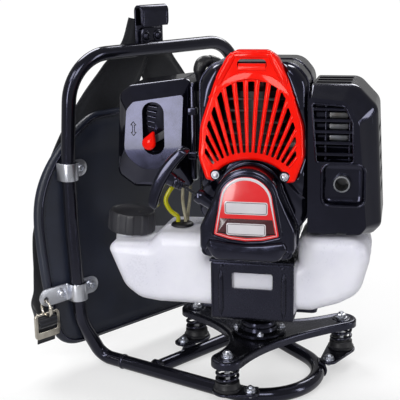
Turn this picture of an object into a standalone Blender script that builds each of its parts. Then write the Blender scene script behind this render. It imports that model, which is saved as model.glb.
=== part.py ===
"""Backpack brush cutter power unit: carrying frame, sprung swivel mount, two-stroke engine and harness.

The model is in metres with +Z up. The operator's back is on the +Y side, the engine stands on the -Y side,
and the floor is z = 0. Every size below is in millimetres and is scaled once, where a mesh is made.
"""

import math

import bpy
import bmesh
from mathutils import Matrix, Vector

MM = 0.001
CLEAR = 0.3

# Placing of the main axes
SWIVEL_Y = -52.5
ENGINE_YAW = -56.0

# Carrying frame
TUBE_R = 8.0
TUBE_Z = 8.0
CROSS_R = 8.0
CROSS_Y = 88.0
LOOP_HALF_WIDTH = 68.2
LOOP_TAPER = 0.22
UPRIGHT_X = 130.0
HOOP_BOW = ((62.0, 163.0), (175.0, 171.0), (252.0, 171.0))
HOOP_END_Y = 158.0
HOOP_TOP_Z = 366.0
HOOP_CORNER_R = 50.0
LOOP_JOIN_Y = 128.0
FOOT_REAR_Y = 160.0
FOOT_LIFT = 0.2

# Back pad
PAD_THICKNESS = 9.0
PAD_HALF_WIDTH = 163.0
PAD_TOP_Z = 299.0
PAD_BOTTOM_Z = 27.0
PAD_EDGE_BEND = 14.0
PAD_COLUMNS = 10
WASHER_R = 7.0

# Pad clamps
CLAMP_T = 2.0
CLAMP_W = 20.0
UPPER_EAR = 30.0
LOWER_EAR_IN = 34.0
LOWER_EAR_OUT = 48.0
LOWER_BOLT_OUT = 18.0
EAR_BOLT_IN = 10.0
UPPER_CLAMP_Z = 237.0
LOWER_CLAMP_Z = 96.0
EAR_HOLE_X = 170.0
EAR_HOLE_Z = 94.0
EAR_HOLE_R = 3.4

# Spring mount
SEATS = ((-78.0, -26.0), (94.0, -44.0), (0.0, 104.0))
SEAT_WORDS = ("left", "right", "rear")
CLAMP_POINTS = ((-64.7, -47.0), (57.5, -55.6), (-24.0, 102.5))
SEAT_T = 3.0
SEAT_R = 16.5
BOLT_R = 3.0
LOWER_CUP_H = 10.0
SPRING_R = 11.3
WIRE_R = 1.75
SPRING_H = 23.0
SPRING_TURNS = 3.6
NUT_H = 5.5
PLATE_T = 3.0
PLATE_RIM = 5.5
PLATE_ARM_R = 17.5
PLATE_WAIST_R = 37.0
HUB_FLANGE_R = 30.0
HUB_R = 20.0
HUB_H = 13.0
HUB_FLANGE_T = 3.5
HUB_BOLT_CIRCLE_R = 25.5
POST_R = 8.0
BEARING_R = 15.5
SEAT_Z = TUBE_Z + TUBE_R + CLEAR
LOWER_CUP_Z = SEAT_Z + SEAT_T + CLEAR
SPRING_Z = LOWER_CUP_Z + LOWER_CUP_H + CLEAR
PLATE_Z = SPRING_Z + SPRING_H + CLEAR
PLATE_TOP_Z = PLATE_Z + PLATE_T
HUB_Z = PLATE_TOP_Z + CLEAR

# Tank cradle and tank
SHEET = 3.0
CRADLE_HALF_W = 44.0
CRADLE_Y = (-50.0, 46.0)
CRADLE_Z = (86.0, 155.0)
WINDOW = ((-22.0, 22.0), (123.0, 141.0))
TANK_Y = (-45.0, 41.0)
TANK_FLOOR_Z = 89.6
LOBE_RISE = 8.0
CAP_X = -147.0
CAP_R = 27.0
CAP_H = 24.0
CAP_TILT = 5.0
NECK_R = 17.0
GROMMET_X = -85.0
GROMMET_Y = -8.0
GROMMET_R = 12.5
GROMMET_TOP_Z = 184.0
SHELF_Z = 166.0
HOSES = (
    ("fuel_hose_return", "fuel_yellow", 2.6,
     ((-89, -12), (-89.3, -12, 190), (-97, -14, 197), (-102, -14, 208), (-98, -11, 219), (-91, -8, 227),
      (-89, -8, 232.4))),
    ("fuel_hose_supply", "fuel_clear", 1.9,
     ((-81, -10.5), (-81, -10.5, 190), (-83.5, -11, 208), (-83, -10, 222), (-82.5, -9, 232.6))),
    ("fuel_hose_purge", "fuel_clear", 1.9,
     ((-80, -3), (-80, -3, 190), (-77, -2, 212), (-76.5, -2, 226), (-76.5, -2, 232.6))),
)

# Engine
CRANK_Z = 220.0
CRANK_R = 7.0
CRANKCASE_Y = (-50.0, 30.0)
CASE_HALF_W = 42.1
CASE_TOP_Z = 250.0
BORE_R = 20.0
CYLINDER_TOP_Z = 335.0
CYLINDER_Y = -6.0
FIN_HALF_W = 33.0
FIN_PITCH = 12.0
SHROUD_Y = (-36.7, 54.0)
SHELL = 2.5
FOAM_INSET = 9.0
STARTER_Y = (-84.0, -50.3)
BADGE_T = 1.5
REEL_R = 22.0
ROPE_R = 1.5
ROPE_REEL_R = 18.0
ROPE_Y = -68.0
PULL_ANGLE = 30.0
ROPE_LENGTH = 69.0
GRIP_LENGTH = 74.0
COVER_Y = (-62.0, -37.0)
COVER_LEAN = 0.14
COVER_LEAN_FROM = 260.0
SLOTS = 13
SLOT_FAN = 78.0
GRILLE_Z = 205.0
GRILLE_INNER = 76.0
GRILLE_OUTER = 134.0
COVER_SCREWS = ((-41.5, 250.0), (41.5, 250.0))
MUFFLER_COVER_Y = (-46.0, 46.0)
AIR_Y = (-30.0, 42.0)
LEVER_PIVOT = (-80.0, 291.0)
LEVER_KNOB = (-114.0, 276.0)
MUFFLER_CORNERS = ((57.4, 184), (124, 184), (133, 194), (126, 318), (104, 341), (57.4, 341))
MUFFLER_RADII = (10, 10, 10, 12, 12, 10)
AIR_CORNERS = ((-70, 226), (-70, 345), (-138, 336), (-150, 326), (-155, 238), (-135, 224))
AIR_RADII = (10, 10, 12, 12, 14, 12)
FLYWHEEL_R = 42.0
CLUTCH_Y = (54.3, 86.0)
DRUM_SHAFT_R = 9.5

# Harness
STRAP_T = 7.0
STRAP_W = 54.0
HOOK_W = 42.0
HOOK_T = 3.0
HOOK_X = -8.0
HOOK_TOP_Z = 416.0
RING_R = 9.0
RING_WIRE_R = 1.5
BUCKLE_W = 34.0
BUCKLE_H = 31.0
BUCKLE_BAR = 3.2
BUCKLE_T = 3.0

COLOURS = {
    "black_paint": ((0.018, 0.018, 0.022), 0.25, 0.0),
    "black_plastic": ((0.020, 0.020, 0.024), 0.35, 0.0),
    "red_plastic": ((0.75, 0.015, 0.008), 0.22, 0.0),
    "tank_plastic": ((0.80, 0.80, 0.82), 0.45, 0.0),
    "zinc": ((0.60, 0.61, 0.63), 0.30, 1.0),
    "steel": ((0.45, 0.45, 0.47), 0.35, 1.0),
    "aluminium": ((0.62, 0.63, 0.65), 0.45, 1.0),
    "rubber": ((0.012, 0.012, 0.013), 0.75, 0.0),
    "webbing": ((0.015, 0.015, 0.017), 0.90, 0.0),
    "pad_vinyl": ((0.016, 0.018, 0.026), 0.55, 0.0),
    "fuel_yellow": ((0.62, 0.60, 0.02), 0.25, 0.0),
    "fuel_clear": ((0.62, 0.60, 0.50), 0.20, 0.0),
    "foam": ((0.20, 0.20, 0.20), 0.95, 0.0),
    "badge": ((0.45, 0.02, 0.02), 0.30, 0.0),
}


def material(name):
    """The named material, made the first time it is asked for."""
    found = bpy.data.materials.get(name)
    if found:
        return found
    colour, roughness, metallic = COLOURS[name]
    made = bpy.data.materials.new(name)
    made.use_nodes = True
    shader = made.node_tree.nodes["Principled BSDF"]
    shader.inputs["Base Color"].default_value = (*colour, 1.0)
    shader.inputs["Roughness"].default_value = roughness
    shader.inputs["Metallic"].default_value = metallic
    return made


def clear_scene():
    for old in list(bpy.data.objects):
        bpy.data.objects.remove(old, do_unlink=True)


def empty(name, place=(0, 0, 0), turn=(0, 0, 0), parent=None):
    """An axis that pieces hang from: a place in millimetres and a turn in degrees."""
    axis = bpy.data.objects.new(name, None)
    axis.location = Vector(place) * MM
    axis.rotation_euler = [math.radians(angle) for angle in turn]
    axis.parent = parent
    bpy.context.collection.objects.link(axis)
    return axis


def add(name, data, finish, parent):
    """Links a mesh or curve as a named piece of one finish, under its axis."""
    piece = bpy.data.objects.new(name, data)
    piece.parent = parent
    if finish:
        data.materials.append(material(finish))
    bpy.context.collection.objects.link(piece)
    return piece


def to_mesh(name, shape):
    """Scales a bmesh to metres, points its faces outwards and shades it by angle."""
    bmesh.ops.recalc_face_normals(shape, faces=shape.faces)
    bmesh.ops.scale(shape, vec=(MM, MM, MM), verts=shape.verts)
    mesh = bpy.data.meshes.new(name)
    shape.to_mesh(mesh)
    shape.free()
    mesh.shade_smooth()
    mesh.set_sharp_from_angle(angle=math.radians(35))
    return mesh


def prism_faces(shape, outline, low, high, axis="Y"):
    """Adds the closed prism of an outline to a bmesh, between two levels of an axis."""
    bottom = [shape.verts.new(placed(u, v, low, axis)) for u, v in outline]
    top = [shape.verts.new(placed(u, v, high, axis)) for u, v in outline]
    shape.faces.new(bottom)
    shape.faces.new(top)
    count = len(outline)
    for i in range(count):
        j = (i + 1) % count
        shape.faces.new((bottom[i], bottom[j], top[j], top[i]))
    return shape


def prism(name, outline, low, high, finish, parent, axis="Y"):
    return add(name, to_mesh(name, prism_faces(bmesh.new(), outline, low, high, axis)), finish, parent)


def prisms(name, parts, finish, parent):
    """Several closed prisms in one piece, each an outline, a low level, a high level and an axis."""
    shape = bmesh.new()
    for outline, low, high, axis in parts:
        prism_faces(shape, outline, low, high, axis)
    return add(name, to_mesh(name, shape), finish, parent)


def box_outline(x0, x1, z0, z1):
    return [(x0, z0), (x1, z0), (x1, z1), (x0, z1)]


def rounded(outline, radii, steps=3):
    """Rounds each corner of an outline with an arc of its radius, limited by its two sides."""
    points = []
    count = len(outline)
    for i, corner in enumerate(outline):
        here = Vector(corner)
        before = Vector(outline[i - 1]) - here
        after = Vector(outline[(i + 1) % count]) - here
        radius = radii[i] if isinstance(radii, (list, tuple)) else radii
        half = before.angle(after) / 2
        if radius <= 0 or half > math.radians(88):
            points.append(tuple(here))
            continue
        reach = min(radius / math.tan(half), 0.45 * before.length, 0.45 * after.length)
        radius = reach * math.tan(half)
        centre = here + (before.normalized() + after.normalized()).normalized() * (radius / math.sin(half))
        start = here + before.normalized() * reach - centre
        end = here + after.normalized() * reach - centre
        for k in range(steps + 1):
            points.append(tuple(centre + turned(start, end, k / steps)))
    return points


def turned(start, end, share):
    """A flat arm turned part of the way from its start to its end direction."""
    sweep = math.atan2(start.x * end.y - start.y * end.x, start.dot(end)) * share
    cosine, sine = math.cos(sweep), math.sin(sweep)
    return Vector((start.x * cosine - start.y * sine, start.x * sine + start.y * cosine))


def inset(outline, wall):
    """Moves each side of an outline inwards by a wall."""
    count = len(outline)
    area = sum(outline[i - 1][0] * outline[i][1] - outline[i][0] * outline[i - 1][1] for i in range(count))
    side = 1 if area > 0 else -1
    points = []
    for i in range(count):
        here = Vector(outline[i])
        before = (here - Vector(outline[i - 1])).normalized()
        after = (Vector(outline[(i + 1) % count]) - here).normalized()
        normal_before = Vector((-before.y, before.x)) * side
        normal_after = Vector((-after.y, after.x)) * side
        middle = (normal_before + normal_after).normalized()
        points.append(tuple(here + middle * (wall / max(0.35, middle.dot(normal_before)))))
    return points


def placed(u, v, w, axis):
    """A point of an outline at a level of an axis."""
    return {"Y": (u, w, v), "X": (w, u, v), "Z": (u, v, w)}[axis]


def ring_outline(corners, radii, steps, reach):
    """An outline moved inwards by a reach, with its corners rounded about the same centres."""
    smaller = [max(0.3, radius - reach) if radius else 0.0 for radius in radii]
    return rounded(inset(corners, reach) if reach else corners, smaller, steps)


def shell(name, corners, radii, levels, edge, finish, parent, axis="Y", steps=2, wall=None, lean=(0.0, 0.0)):
    """A tray: walls from an open level to a floor at a closed level, whose outer edge is rounded in two facets.

    The floor can lean: it shifts by a share of each point's height over a given height."""
    wall = wall or SHELL
    open_level, closed_level = levels
    inwards = 1 if open_level > closed_level else -1
    rows = [(0, open_level), (0, closed_level + inwards * edge), (0.3 * edge, closed_level + inwards * 0.3 * edge),
            (edge, closed_level), (edge + 0.4 * wall, closed_level + inwards * wall),
            (wall, closed_level + inwards * (edge + 0.4 * wall)), (wall, open_level)]
    if not edge:
        rows = [(0, open_level), (0, closed_level), (wall, closed_level + inwards * wall), (wall, open_level)]
    shape = bmesh.new()
    rings = []
    for reach, level in rows:
        share = 0.0 if level == open_level else lean[0]
        outline = ring_outline(corners, radii, steps, reach)
        rings.append([shape.verts.new(placed(u, v, level + share * (v - lean[1]), axis)) for u, v in outline])
    count, last = len(rings[0]), len(rings) - 1
    floor = last // 2
    for a in range(len(rings)):
        b = (a + 1) % len(rings)
        if a == floor:
            continue
        for i in range(count):
            j = (i + 1) % count
            shape.faces.new((rings[a][i], rings[a][j], rings[b][j], rings[b][i]))
    shape.faces.new(rings[floor])
    shape.faces.new(rings[floor + 1])
    return add(name, to_mesh(name, shape), finish, parent)


def turned_faces(shape, profile, centre, axis, segments, angle=0.0):
    """Turns a closed profile of (radius, height) points round an axis through a centre."""
    frame = Vector((0, 0, 1)).rotation_difference(Vector(axis)).to_matrix()
    rings = []
    for radius, height in profile:
        if radius == 0:
            rings.append([shape.verts.new(Vector(centre) + frame @ Vector((0, 0, height)))])
            continue
        ring = []
        for k in range(segments):
            turn = angle + 2 * math.pi * k / segments
            point = Vector((radius * math.cos(turn), radius * math.sin(turn), height))
            ring.append(shape.verts.new(Vector(centre) + frame @ point))
        rings.append(ring)
    closed = profile[0][0] != 0
    for i in range(len(rings) - (0 if closed else 1)):
        lower, upper = rings[i], rings[(i + 1) % len(rings)]
        for k in range(segments):
            n = (k + 1) % segments
            if len(lower) == 1:
                shape.faces.new((lower[0], upper[n], upper[k]))
            elif len(upper) == 1:
                shape.faces.new((lower[k], lower[n], upper[0]))
            else:
                shape.faces.new((lower[k], lower[n], upper[n], upper[k]))
    return shape


def lathe(name, profile, centre, axis, finish, parent, segments=16, angle=0.0):
    shape = turned_faces(bmesh.new(), profile, centre, axis, segments, angle)
    return add(name, to_mesh(name, shape), finish, parent)


def disc(radius, low, high, bore=0.0):
    """The profile of a plain disc or, with a bore, of a plain ring."""
    if bore:
        return [(bore, low), (radius, low), (radius, high), (bore, high)]
    return [(0, low), (radius, low), (radius, high), (0, high)]


def bolt_profile(shank_r, shank, head_r, head, socket=0.0):
    """The profile of a bolt whose head sits on height 0, with its shank below and an optional socket."""
    points = [(0, -shank), (shank_r, -shank), (shank_r, 0), (head_r, 0), (head_r, head)]
    if socket:
        points += [(socket, head), (socket, head * 0.4)]
        return points + [(0, head * 0.4)]
    return points + [(0, head)]


def bolt_tool(name, places, profile, axis, parent, segments=8):
    """Like fasteners as one hidden tool, joined later to the piece that they hold."""
    shape = bmesh.new()
    for place in places:
        turned_faces(shape, profile, place, axis, segments)
    return hide(add(name, to_mesh(name, shape), None, parent))


def tube(name, points, radius, finish, parent, resolution=2):
    """A round bar or tube along a list of points, as a curve with filled ends."""
    curve = bpy.data.curves.new(name, "CURVE")
    curve.dimensions = "3D"
    curve.bevel_depth = radius * MM
    curve.bevel_resolution = resolution
    curve.use_fill_caps = True
    spline = curve.splines.new("POLY")
    spline.points.add(len(points) - 1)
    for target, point in zip(spline.points, points):
        target.co = (*(Vector(point) * MM), 1)
    return add(name, curve, finish, parent)


def pipe(name, points, radius, finish, parent, sides=12):
    """A round tube as a mesh, for pieces that are cut or joined: rings carried along a list of points.

    Its flats are a radius away from its axis, and one of them faces down."""
    radius = radius / math.cos(math.pi / sides)
    shape = bmesh.new()
    points = [Vector(p) for p in points]
    rings = []
    side = Vector((0, 0, 1)) if abs((points[1] - points[0]).normalized().z) < 0.9 else Vector((0, 1, 0))
    for i, point in enumerate(points):
        before = (point - points[i - 1]).normalized() if i else (points[1] - point).normalized()
        after = (points[i + 1] - point).normalized() if i + 1 < len(points) else before
        along = (before + after).normalized()
        side = (side - along * side.dot(along)).normalized()
        other = along.cross(side)
        stretch = 1 / max(0.5, along.dot(before))
        bend = (after - before)
        ring = []
        for k in range(sides):
            turn = 2 * math.pi * (k + 0.5) / sides
            arm = side * (radius * math.cos(turn)) + other * (radius * math.sin(turn))
            if bend.length > 1e-6:
                arm += bend.normalized() * (arm.dot(bend.normalized()) * (stretch - 1))
            ring.append(shape.verts.new(point + arm))
        rings.append(ring)
    for a, b in zip(rings, rings[1:]):
        for k in range(sides):
            n = (k + 1) % sides
            shape.faces.new((a[k], a[n], b[n], b[k]))
    shape.faces.new(rings[0])
    shape.faces.new(rings[-1])
    return add(name, to_mesh(name, shape), finish, parent)


def smooth_route(points, step):
    """Points along a smooth curve through a route's own points, about a step apart."""
    route = [Vector(p) for p in points]
    route = [2 * route[0] - route[1]] + route + [2 * route[-1] - route[-2]]
    found = []
    for i in range(1, len(route) - 2):
        a, b, c, d = route[i - 1:i + 3]
        count = max(1, round((c - b).length / step))
        for k in range(count):
            t = k / count
            found.append(0.5 * (2 * b + (c - a) * t + (2 * a - 5 * b + 4 * c - d) * t ** 2
                                + (3 * b - a - 3 * c + d) * t ** 3))
    return found + [route[-2]]


def cutter(name, parts, parent):
    """Hidden solids that cut others: prisms, as an outline, two levels and an axis."""
    tool = prisms(name, parts, None, parent)
    return hide(tool)


def round_cutter(name, places, radius, low, high, axis, parent, segments=12):
    shape = bmesh.new()
    for place in places:
        turned_faces(shape, disc(radius, low, high), place, axis, segments)
    return hide(add(name, to_mesh(name, shape), None, parent))


def set_axis(piece, place):
    """Moves a piece's origin onto its joint's axis and leaves its shape where it is."""
    place = Vector(place) * MM
    piece.data.transform(Matrix.Translation(-place))
    piece.location = place
    return piece


def hide(tool):
    tool.hide_render = True
    tool.display_type = "WIRE"
    return tool


def cut(piece, *tools, operation="DIFFERENCE"):
    for tool in tools:
        modifier = piece.modifiers.new("cut", "BOOLEAN")
        modifier.operation = operation
        modifier.object = tool
        modifier.solver = "EXACT"
    return piece


def bevel(piece, width, segments=1, angle=35):
    modifier = piece.modifiers.new("edges", "BEVEL")
    modifier.width = width * MM
    modifier.segments = segments
    modifier.limit_method = "ANGLE"
    modifier.angle_limit = math.radians(angle)
    return piece


def mirrored(points):
    """A half outline of (x, z) points from top to bottom on +X, closed with its mirror image."""
    return list(points) + [(-x, z) for x, z in reversed(points) if x != 0]


# Carrying frame

def loop_x(y):
    """Half the width of the base loop at a place along it."""
    return LOOP_HALF_WIDTH + LOOP_TAPER * y


def loop_radius():
    return LOOP_HALF_WIDTH / math.sqrt(1 + LOOP_TAPER ** 2)


def back_hoop(parent):
    """Inverted U whose feet bend forward into the base, bowed back a little at the loins."""
    foot_z = TUBE_Z + FOOT_LIFT
    left = [(-loop_x(LOOP_JOIN_Y), LOOP_JOIN_Y, foot_z),
            (-loop_x(FOOT_REAR_Y), FOOT_REAR_Y, foot_z),
            *((-UPRIGHT_X, y, z) for z, y in HOOP_BOW),
            (-UPRIGHT_X, HOOP_END_Y, HOOP_TOP_Z)]
    corners = left + [(-x, y, z) for x, y, z in reversed(left)]
    radii = [0, 30, 60, 200, 200, HOOP_CORNER_R]
    path = open_fillet(corners, radii + radii[::-1])
    return pipe("back_hoop", path, TUBE_R, "black_paint", parent, 12)


def open_fillet(corners, radii, steps=5):
    """Rounds the inner corners of an open route; sharp turns get more steps than slight ones."""
    points = [Vector(corners[0])]
    for i in range(1, len(corners) - 1):
        here, before, after = Vector(corners[i]), Vector(corners[i - 1]), Vector(corners[i + 1])
        to_before, to_after = before - here, after - here
        half = to_before.angle(to_after) / 2
        reach = min(radii[i] / math.tan(half), 0.45 * to_before.length, 0.45 * to_after.length)
        radius = reach * math.tan(half)
        middle = (to_before.normalized() + to_after.normalized()).normalized()
        centre = here + middle * (radius / math.sin(half))
        start = here + to_before.normalized() * reach - centre
        end = here + to_after.normalized() * reach - centre
        count = max(2, round(steps * (math.pi - 2 * half) / (math.pi / 2)))
        for k in range(count + 1):
            points.append(centre + start.slerp(end, k / count) * start.length)
    return points + [Vector(corners[-1])]


def base_loop(parent):
    """U of tube on the floor, whose sides close in towards a round front, with a tube welded across."""
    radius = loop_radius()
    lean = math.atan(LOOP_TAPER)
    start_y = LOOP_JOIN_Y - CLEAR
    points = [(-loop_x(start_y), start_y, TUBE_Z)]
    steps = 14
    for k in range(steps + 1):
        angle = math.pi + lean + (math.pi - 2 * lean) * k / steps
        points.append((radius * math.cos(angle), radius * math.sin(angle), TUBE_Z))
    points.append((loop_x(start_y), start_y, TUBE_Z))
    loop = pipe("base_loop", points, TUBE_R, "black_paint", parent, 12)
    ends = [(-loop_x(CROSS_Y), CROSS_Y, TUBE_Z), (loop_x(CROSS_Y), CROSS_Y, TUBE_Z)]
    return cut(loop, hide(pipe("cross_tube", ends, CROSS_R - 0.2, None, parent, 12)), operation="UNION")


# Back pad and its clamps

def hoop_y(z):
    """Where the upright's axis lies at a height: straight between its slight bends."""
    bends = HOOP_BOW + ((HOOP_TOP_Z, HOOP_END_Y),)
    for (z0, y0), (z1, y1) in zip(bends, bends[1:]):
        if z <= z1:
            return y0 + (y1 - y0) * max(0.0, z - z0) / (z1 - z0)
    return HOOP_END_Y


def pad_surface(x, z):
    """How far back the pad's front face lies: it follows the bowed uprights and turns back at its sides."""
    side = max(0.0, (abs(x) - 118) / 45)
    return hoop_y(z) + TUBE_R + CLEAR + PAD_EDGE_BEND * side ** 2


def pad_rows():
    """Heights of the pad's cross lines: one on each bend, and closer together at its round ends."""
    low, high = HOOP_BOW[0][0], HOOP_BOW[-1][0]
    rows = [low - (low - PAD_BOTTOM_Z) * math.sin(math.pi / 2 * k / 4) for k in range(4, 0, -1)]
    for (a, _), (b, _) in zip(HOOP_BOW, HOOP_BOW[1:]):
        rows += [a, (a + b) / 2]
    return rows + [high + (PAD_TOP_Z - high) * math.sin(math.pi / 2 * k / 5) for k in range(6)]


def pad_half_width(z):
    """Half the pad's width at a height: round shoulders, straight sides and round lower corners."""
    if z > 175:
        rise = (z - 175) / (PAD_TOP_Z - 175)
        return PAD_HALF_WIDTH * math.sqrt(max(0.0, 1 - 0.70 * rise ** 2.3))
    if z < 60:
        fall = (60 - z) / (60 - PAD_BOTTOM_Z)
        return (PAD_HALF_WIDTH - 6) - 22 * (1 - math.sqrt(max(0.0, 1 - fall ** 2)))
    return PAD_HALF_WIDTH - 6 * ((175 - z) / 115) ** 2


def back_pad(parent):
    """One curved board: a grid over its outline, with a front and a back face."""
    heights, columns = pad_rows(), PAD_COLUMNS
    rows = len(heights) - 1
    shape = bmesh.new()
    faces = []
    for thickness in (0.0, PAD_THICKNESS):
        grid = []
        for z in heights:
            half = pad_half_width(z)
            row = []
            for k in range(columns + 1):
                x = -half + 2 * half * k / columns
                row.append(shape.verts.new((x, pad_surface(x, z) + thickness, z)))
            grid.append(row)
        faces.append(grid)
        for i in range(rows):
            for k in range(columns):
                shape.faces.new((grid[i][k], grid[i][k + 1], grid[i + 1][k + 1], grid[i + 1][k]))
    front, back = faces
    for i in range(rows):
        for k in (0, columns):
            shape.faces.new((front[i][k], front[i + 1][k], back[i + 1][k], back[i][k]))
    for k in range(columns):
        for i in (0, rows):
            shape.faces.new((front[i][k], front[i][k + 1], back[i][k + 1], back[i][k]))
    pad = add("back_pad", to_mesh("back_pad", shape), "pad_vinyl", parent)
    holes = [(x, 150, z) for x, z in clamp_bolt_places()]
    return cut(pad, round_cutter("pad_bolt_holes", holes, BOLT_R + CLEAR, 0, 70, (0, 1, 0), parent))


def clamp_outline(centre_y, inner_reach, outer_reach, face_y):
    """A saddle over the tube, seen from above: a half ring with a flat ear on one or both sides."""
    inner_r = TUBE_R + 2.5 * CLEAR
    outer_r = inner_r + CLAMP_T
    steps = 8
    outer, inner = [], []
    for k in range(steps + 1):
        turn = math.pi * k / steps
        outer.append((-outer_r * math.cos(turn), centre_y - outer_r * math.sin(turn)))
        inner.append((inner_r * math.cos(turn), centre_y - inner_r * math.sin(turn)))
    ear_front, ear_back = face_y - CLAMP_T, face_y
    left = [(-outer_reach, ear_back), (-outer_reach, ear_front)] if outer_reach else [(-inner_r, ear_back)]
    right = [(inner_reach, ear_front), (inner_reach, ear_back)] if inner_reach else [(inner_r, ear_back)]
    outer = [p for p in outer if p[1] < ear_front - 0.01]
    inner = [p for p in inner if p[1] < ear_back - 0.01]
    if outer_reach:
        outer = [(-outer_r, ear_front)] + outer
        inner = inner + [(-inner_r, ear_back)]
    if not outer_reach:
        outer = [(-outer_r, ear_back)] + outer
    outer = outer + [(outer_r, ear_front)]
    inner = [(inner_r, ear_back)] + inner
    return left[:2] * bool(outer_reach) + outer + right + inner


def clamp_bolt_places():
    """Where each pad bolt passes: x and z, on both sides."""
    places = []
    for side in (-1, 1):
        places.append((side * (UPRIGHT_X - UPPER_EAR + EAR_BOLT_IN), UPPER_CLAMP_Z))
        places.append((side * (UPRIGHT_X - LOWER_EAR_IN + EAR_BOLT_IN), LOWER_CLAMP_Z))
        places.append((side * (UPRIGHT_X + LOWER_BOLT_OUT), LOWER_CLAMP_Z))
    return places


def pad_clamps(parent):
    """Zinc saddles that hold the pad to the uprights, two on each side, each with its bolts and washers."""
    for level, inner_ear, outer_ear, name in ((UPPER_CLAMP_Z, UPPER_EAR, 0, "upper"),
                                              (LOWER_CLAMP_Z, LOWER_EAR_IN, LOWER_EAR_OUT, "lower")):
        face = clamp_face(level)
        outline = clamp_outline(hoop_y(level), inner_ear, outer_ear, face)
        for side, word in ((-1, "left"), (1, "right")):
            clamp = prism(f"{name}_clamp_{word}", [(side * (UPRIGHT_X - x), y) for x, y in outline],
                          level - CLAMP_W / 2, level + CLAMP_W / 2, "zinc", parent, axis="Z")
            lean = hoop_y(level + 1) - hoop_y(level)
            for vertex in clamp.data.vertices:
                vertex.co.y += lean * (vertex.co.z - level * MM)
            for k, (x, z) in enumerate(clamp_bolt_places()):
                if z != level or x * side < 0:
                    continue
                back = pad_back(x, z) + CLEAR - face
                bolt = [(0, back + 4), (WASHER_R, back + 4), (WASHER_R, back), (BOLT_R, back), (BOLT_R, -0.5),
                        (5.6, -0.5), (5.6, -CLAMP_T - 3.6), (2.6, -CLAMP_T - 3.6), (2.6, -CLAMP_T - 1.2),
                        (0, -CLAMP_T - 1.2)]
                bolt = bolt_tool(f"{name}_bolt_{word}_{k}", [(x, face, z)], bolt[::-1], (0, 1, 0), parent)
                cut(clamp, bolt, operation="UNION")
            if outer_ear:
                hole = [(side * EAR_HOLE_X, face - 10, EAR_HOLE_Z)]
                cut(clamp, round_cutter(f"ear_hole_{word}", hole, EAR_HOLE_R, 0, 20, (0, 1, 0), parent, 12))


def clamp_face(z):
    return pad_surface(UPRIGHT_X - 22, z) - CLEAR


def pad_back(x, z):
    """Where a flat washer clears the pad's back face, whose cross lines are straight between their points."""
    pitch = 2 * pad_half_width(z) / PAD_COLUMNS
    reach = [abs(x) - WASHER_R, abs(x) + WASHER_R]
    corners = [math.ceil(edge / pitch) * pitch for edge in reach]
    return max(pad_surface(corner, z) for corner in corners) + PAD_THICKNESS


# Spring mount

def capsule(a, b, radius_a, radius_b, steps=7):
    """The outline of a bar with round ends of two radii."""
    a, b = Vector(a), Vector(b)
    along = (b - a).normalized()
    heading = math.atan2(along.y, along.x)
    tilt = math.acos((radius_a - radius_b) / (b - a).length)
    points = []
    for k in range(steps + 1):
        turn = heading + tilt + (2 * math.pi - 2 * tilt) * k / steps
        points.append((a.x + radius_a * math.cos(turn), a.y + radius_a * math.sin(turn)))
    for k in range(steps + 1):
        turn = heading - tilt + 2 * tilt * k / steps
        points.append((b.x + radius_b * math.cos(turn), b.y + radius_b * math.sin(turn)))
    return points


def spring_seats(parent):
    """Three flat brackets on the frame tubes, each with a foot beside its tube and a bolt through it."""
    for i, (seat, clamp, word) in enumerate(zip(SEATS, CLAMP_POINTS, SEAT_WORDS)):
        bracket = prism(f"spring_seat_{word}", capsule(seat, clamp, SEAT_R, 10.0), SEAT_Z, SEAT_Z + SEAT_T,
                        "black_paint", parent, axis="Z")
        block = (clamp_block_outline(i, clamp), 2.0, SEAT_Z + SEAT_T / 2, "Z")
        foot = cutter(f"seat_foot_{word}", [block], parent)
        head_place = (*clamp, SEAT_Z + SEAT_T - 0.2)
        head = bolt_tool(f"clamp_bolt_{word}", [head_place], disc(5.5, 0, 4.7), (0, 0, 1), parent)
        cut(bracket, foot, head, operation="UNION")
        hole = round_cutter(f"seat_hole_{word}", [(*seat, 0)], BOLT_R + CLEAR, -2, 30, (0, 0, 1), parent)
        cut(bracket, hole)


def clamp_block_outline(index, clamp):
    """A small block that hugs the outer side of its tube."""
    if index == 2:
        low = CROSS_Y + CROSS_R + CLEAR
        return box_outline(clamp[0] - 8, clamp[0] + 8, low, low + 16)
    away = Vector(clamp).normalized()
    side = Vector((-away.y, away.x))
    inner = loop_radius() + TUBE_R + CLEAR + 0.6
    points = [(inner, -7), (inner + 13, -7), (inner + 13, 7), (inner, 7)]
    return [tuple(away * r + side * s) for r, s in points]


def springs(parent):
    """Each spring is one unbroken helix of wire between its two rubber cups."""
    per_turn = 10
    rise = SPRING_H - 2 * (WIRE_R + CLEAR)
    count = round(SPRING_TURNS * per_turn)
    for i, (seat, word) in enumerate(zip(SEATS, SEAT_WORDS)):
        points = []
        for k in range(count + 1):
            turn = 2 * math.pi * k / per_turn + i
            height = SPRING_Z + CLEAR + WIRE_R + rise * k / count
            points.append((seat[0] + SPRING_R * math.cos(turn), seat[1] + SPRING_R * math.sin(turn), height))
        tube(f"mount_spring_{word}", points, WIRE_R, "black_paint", parent, resolution=1)
    print(f"least gap between spring turns: {least_gap(points, per_turn):.2f} mm")


def least_gap(points, per_turn):
    """The least gap between a helix's wire and itself, measured between points half a turn or more apart."""
    places = [Vector(point) for point in points]
    half = per_turn // 2
    return min((a - b).length for i, a in enumerate(places) for b in places[i + half:]) - 2 * WIRE_R


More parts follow.
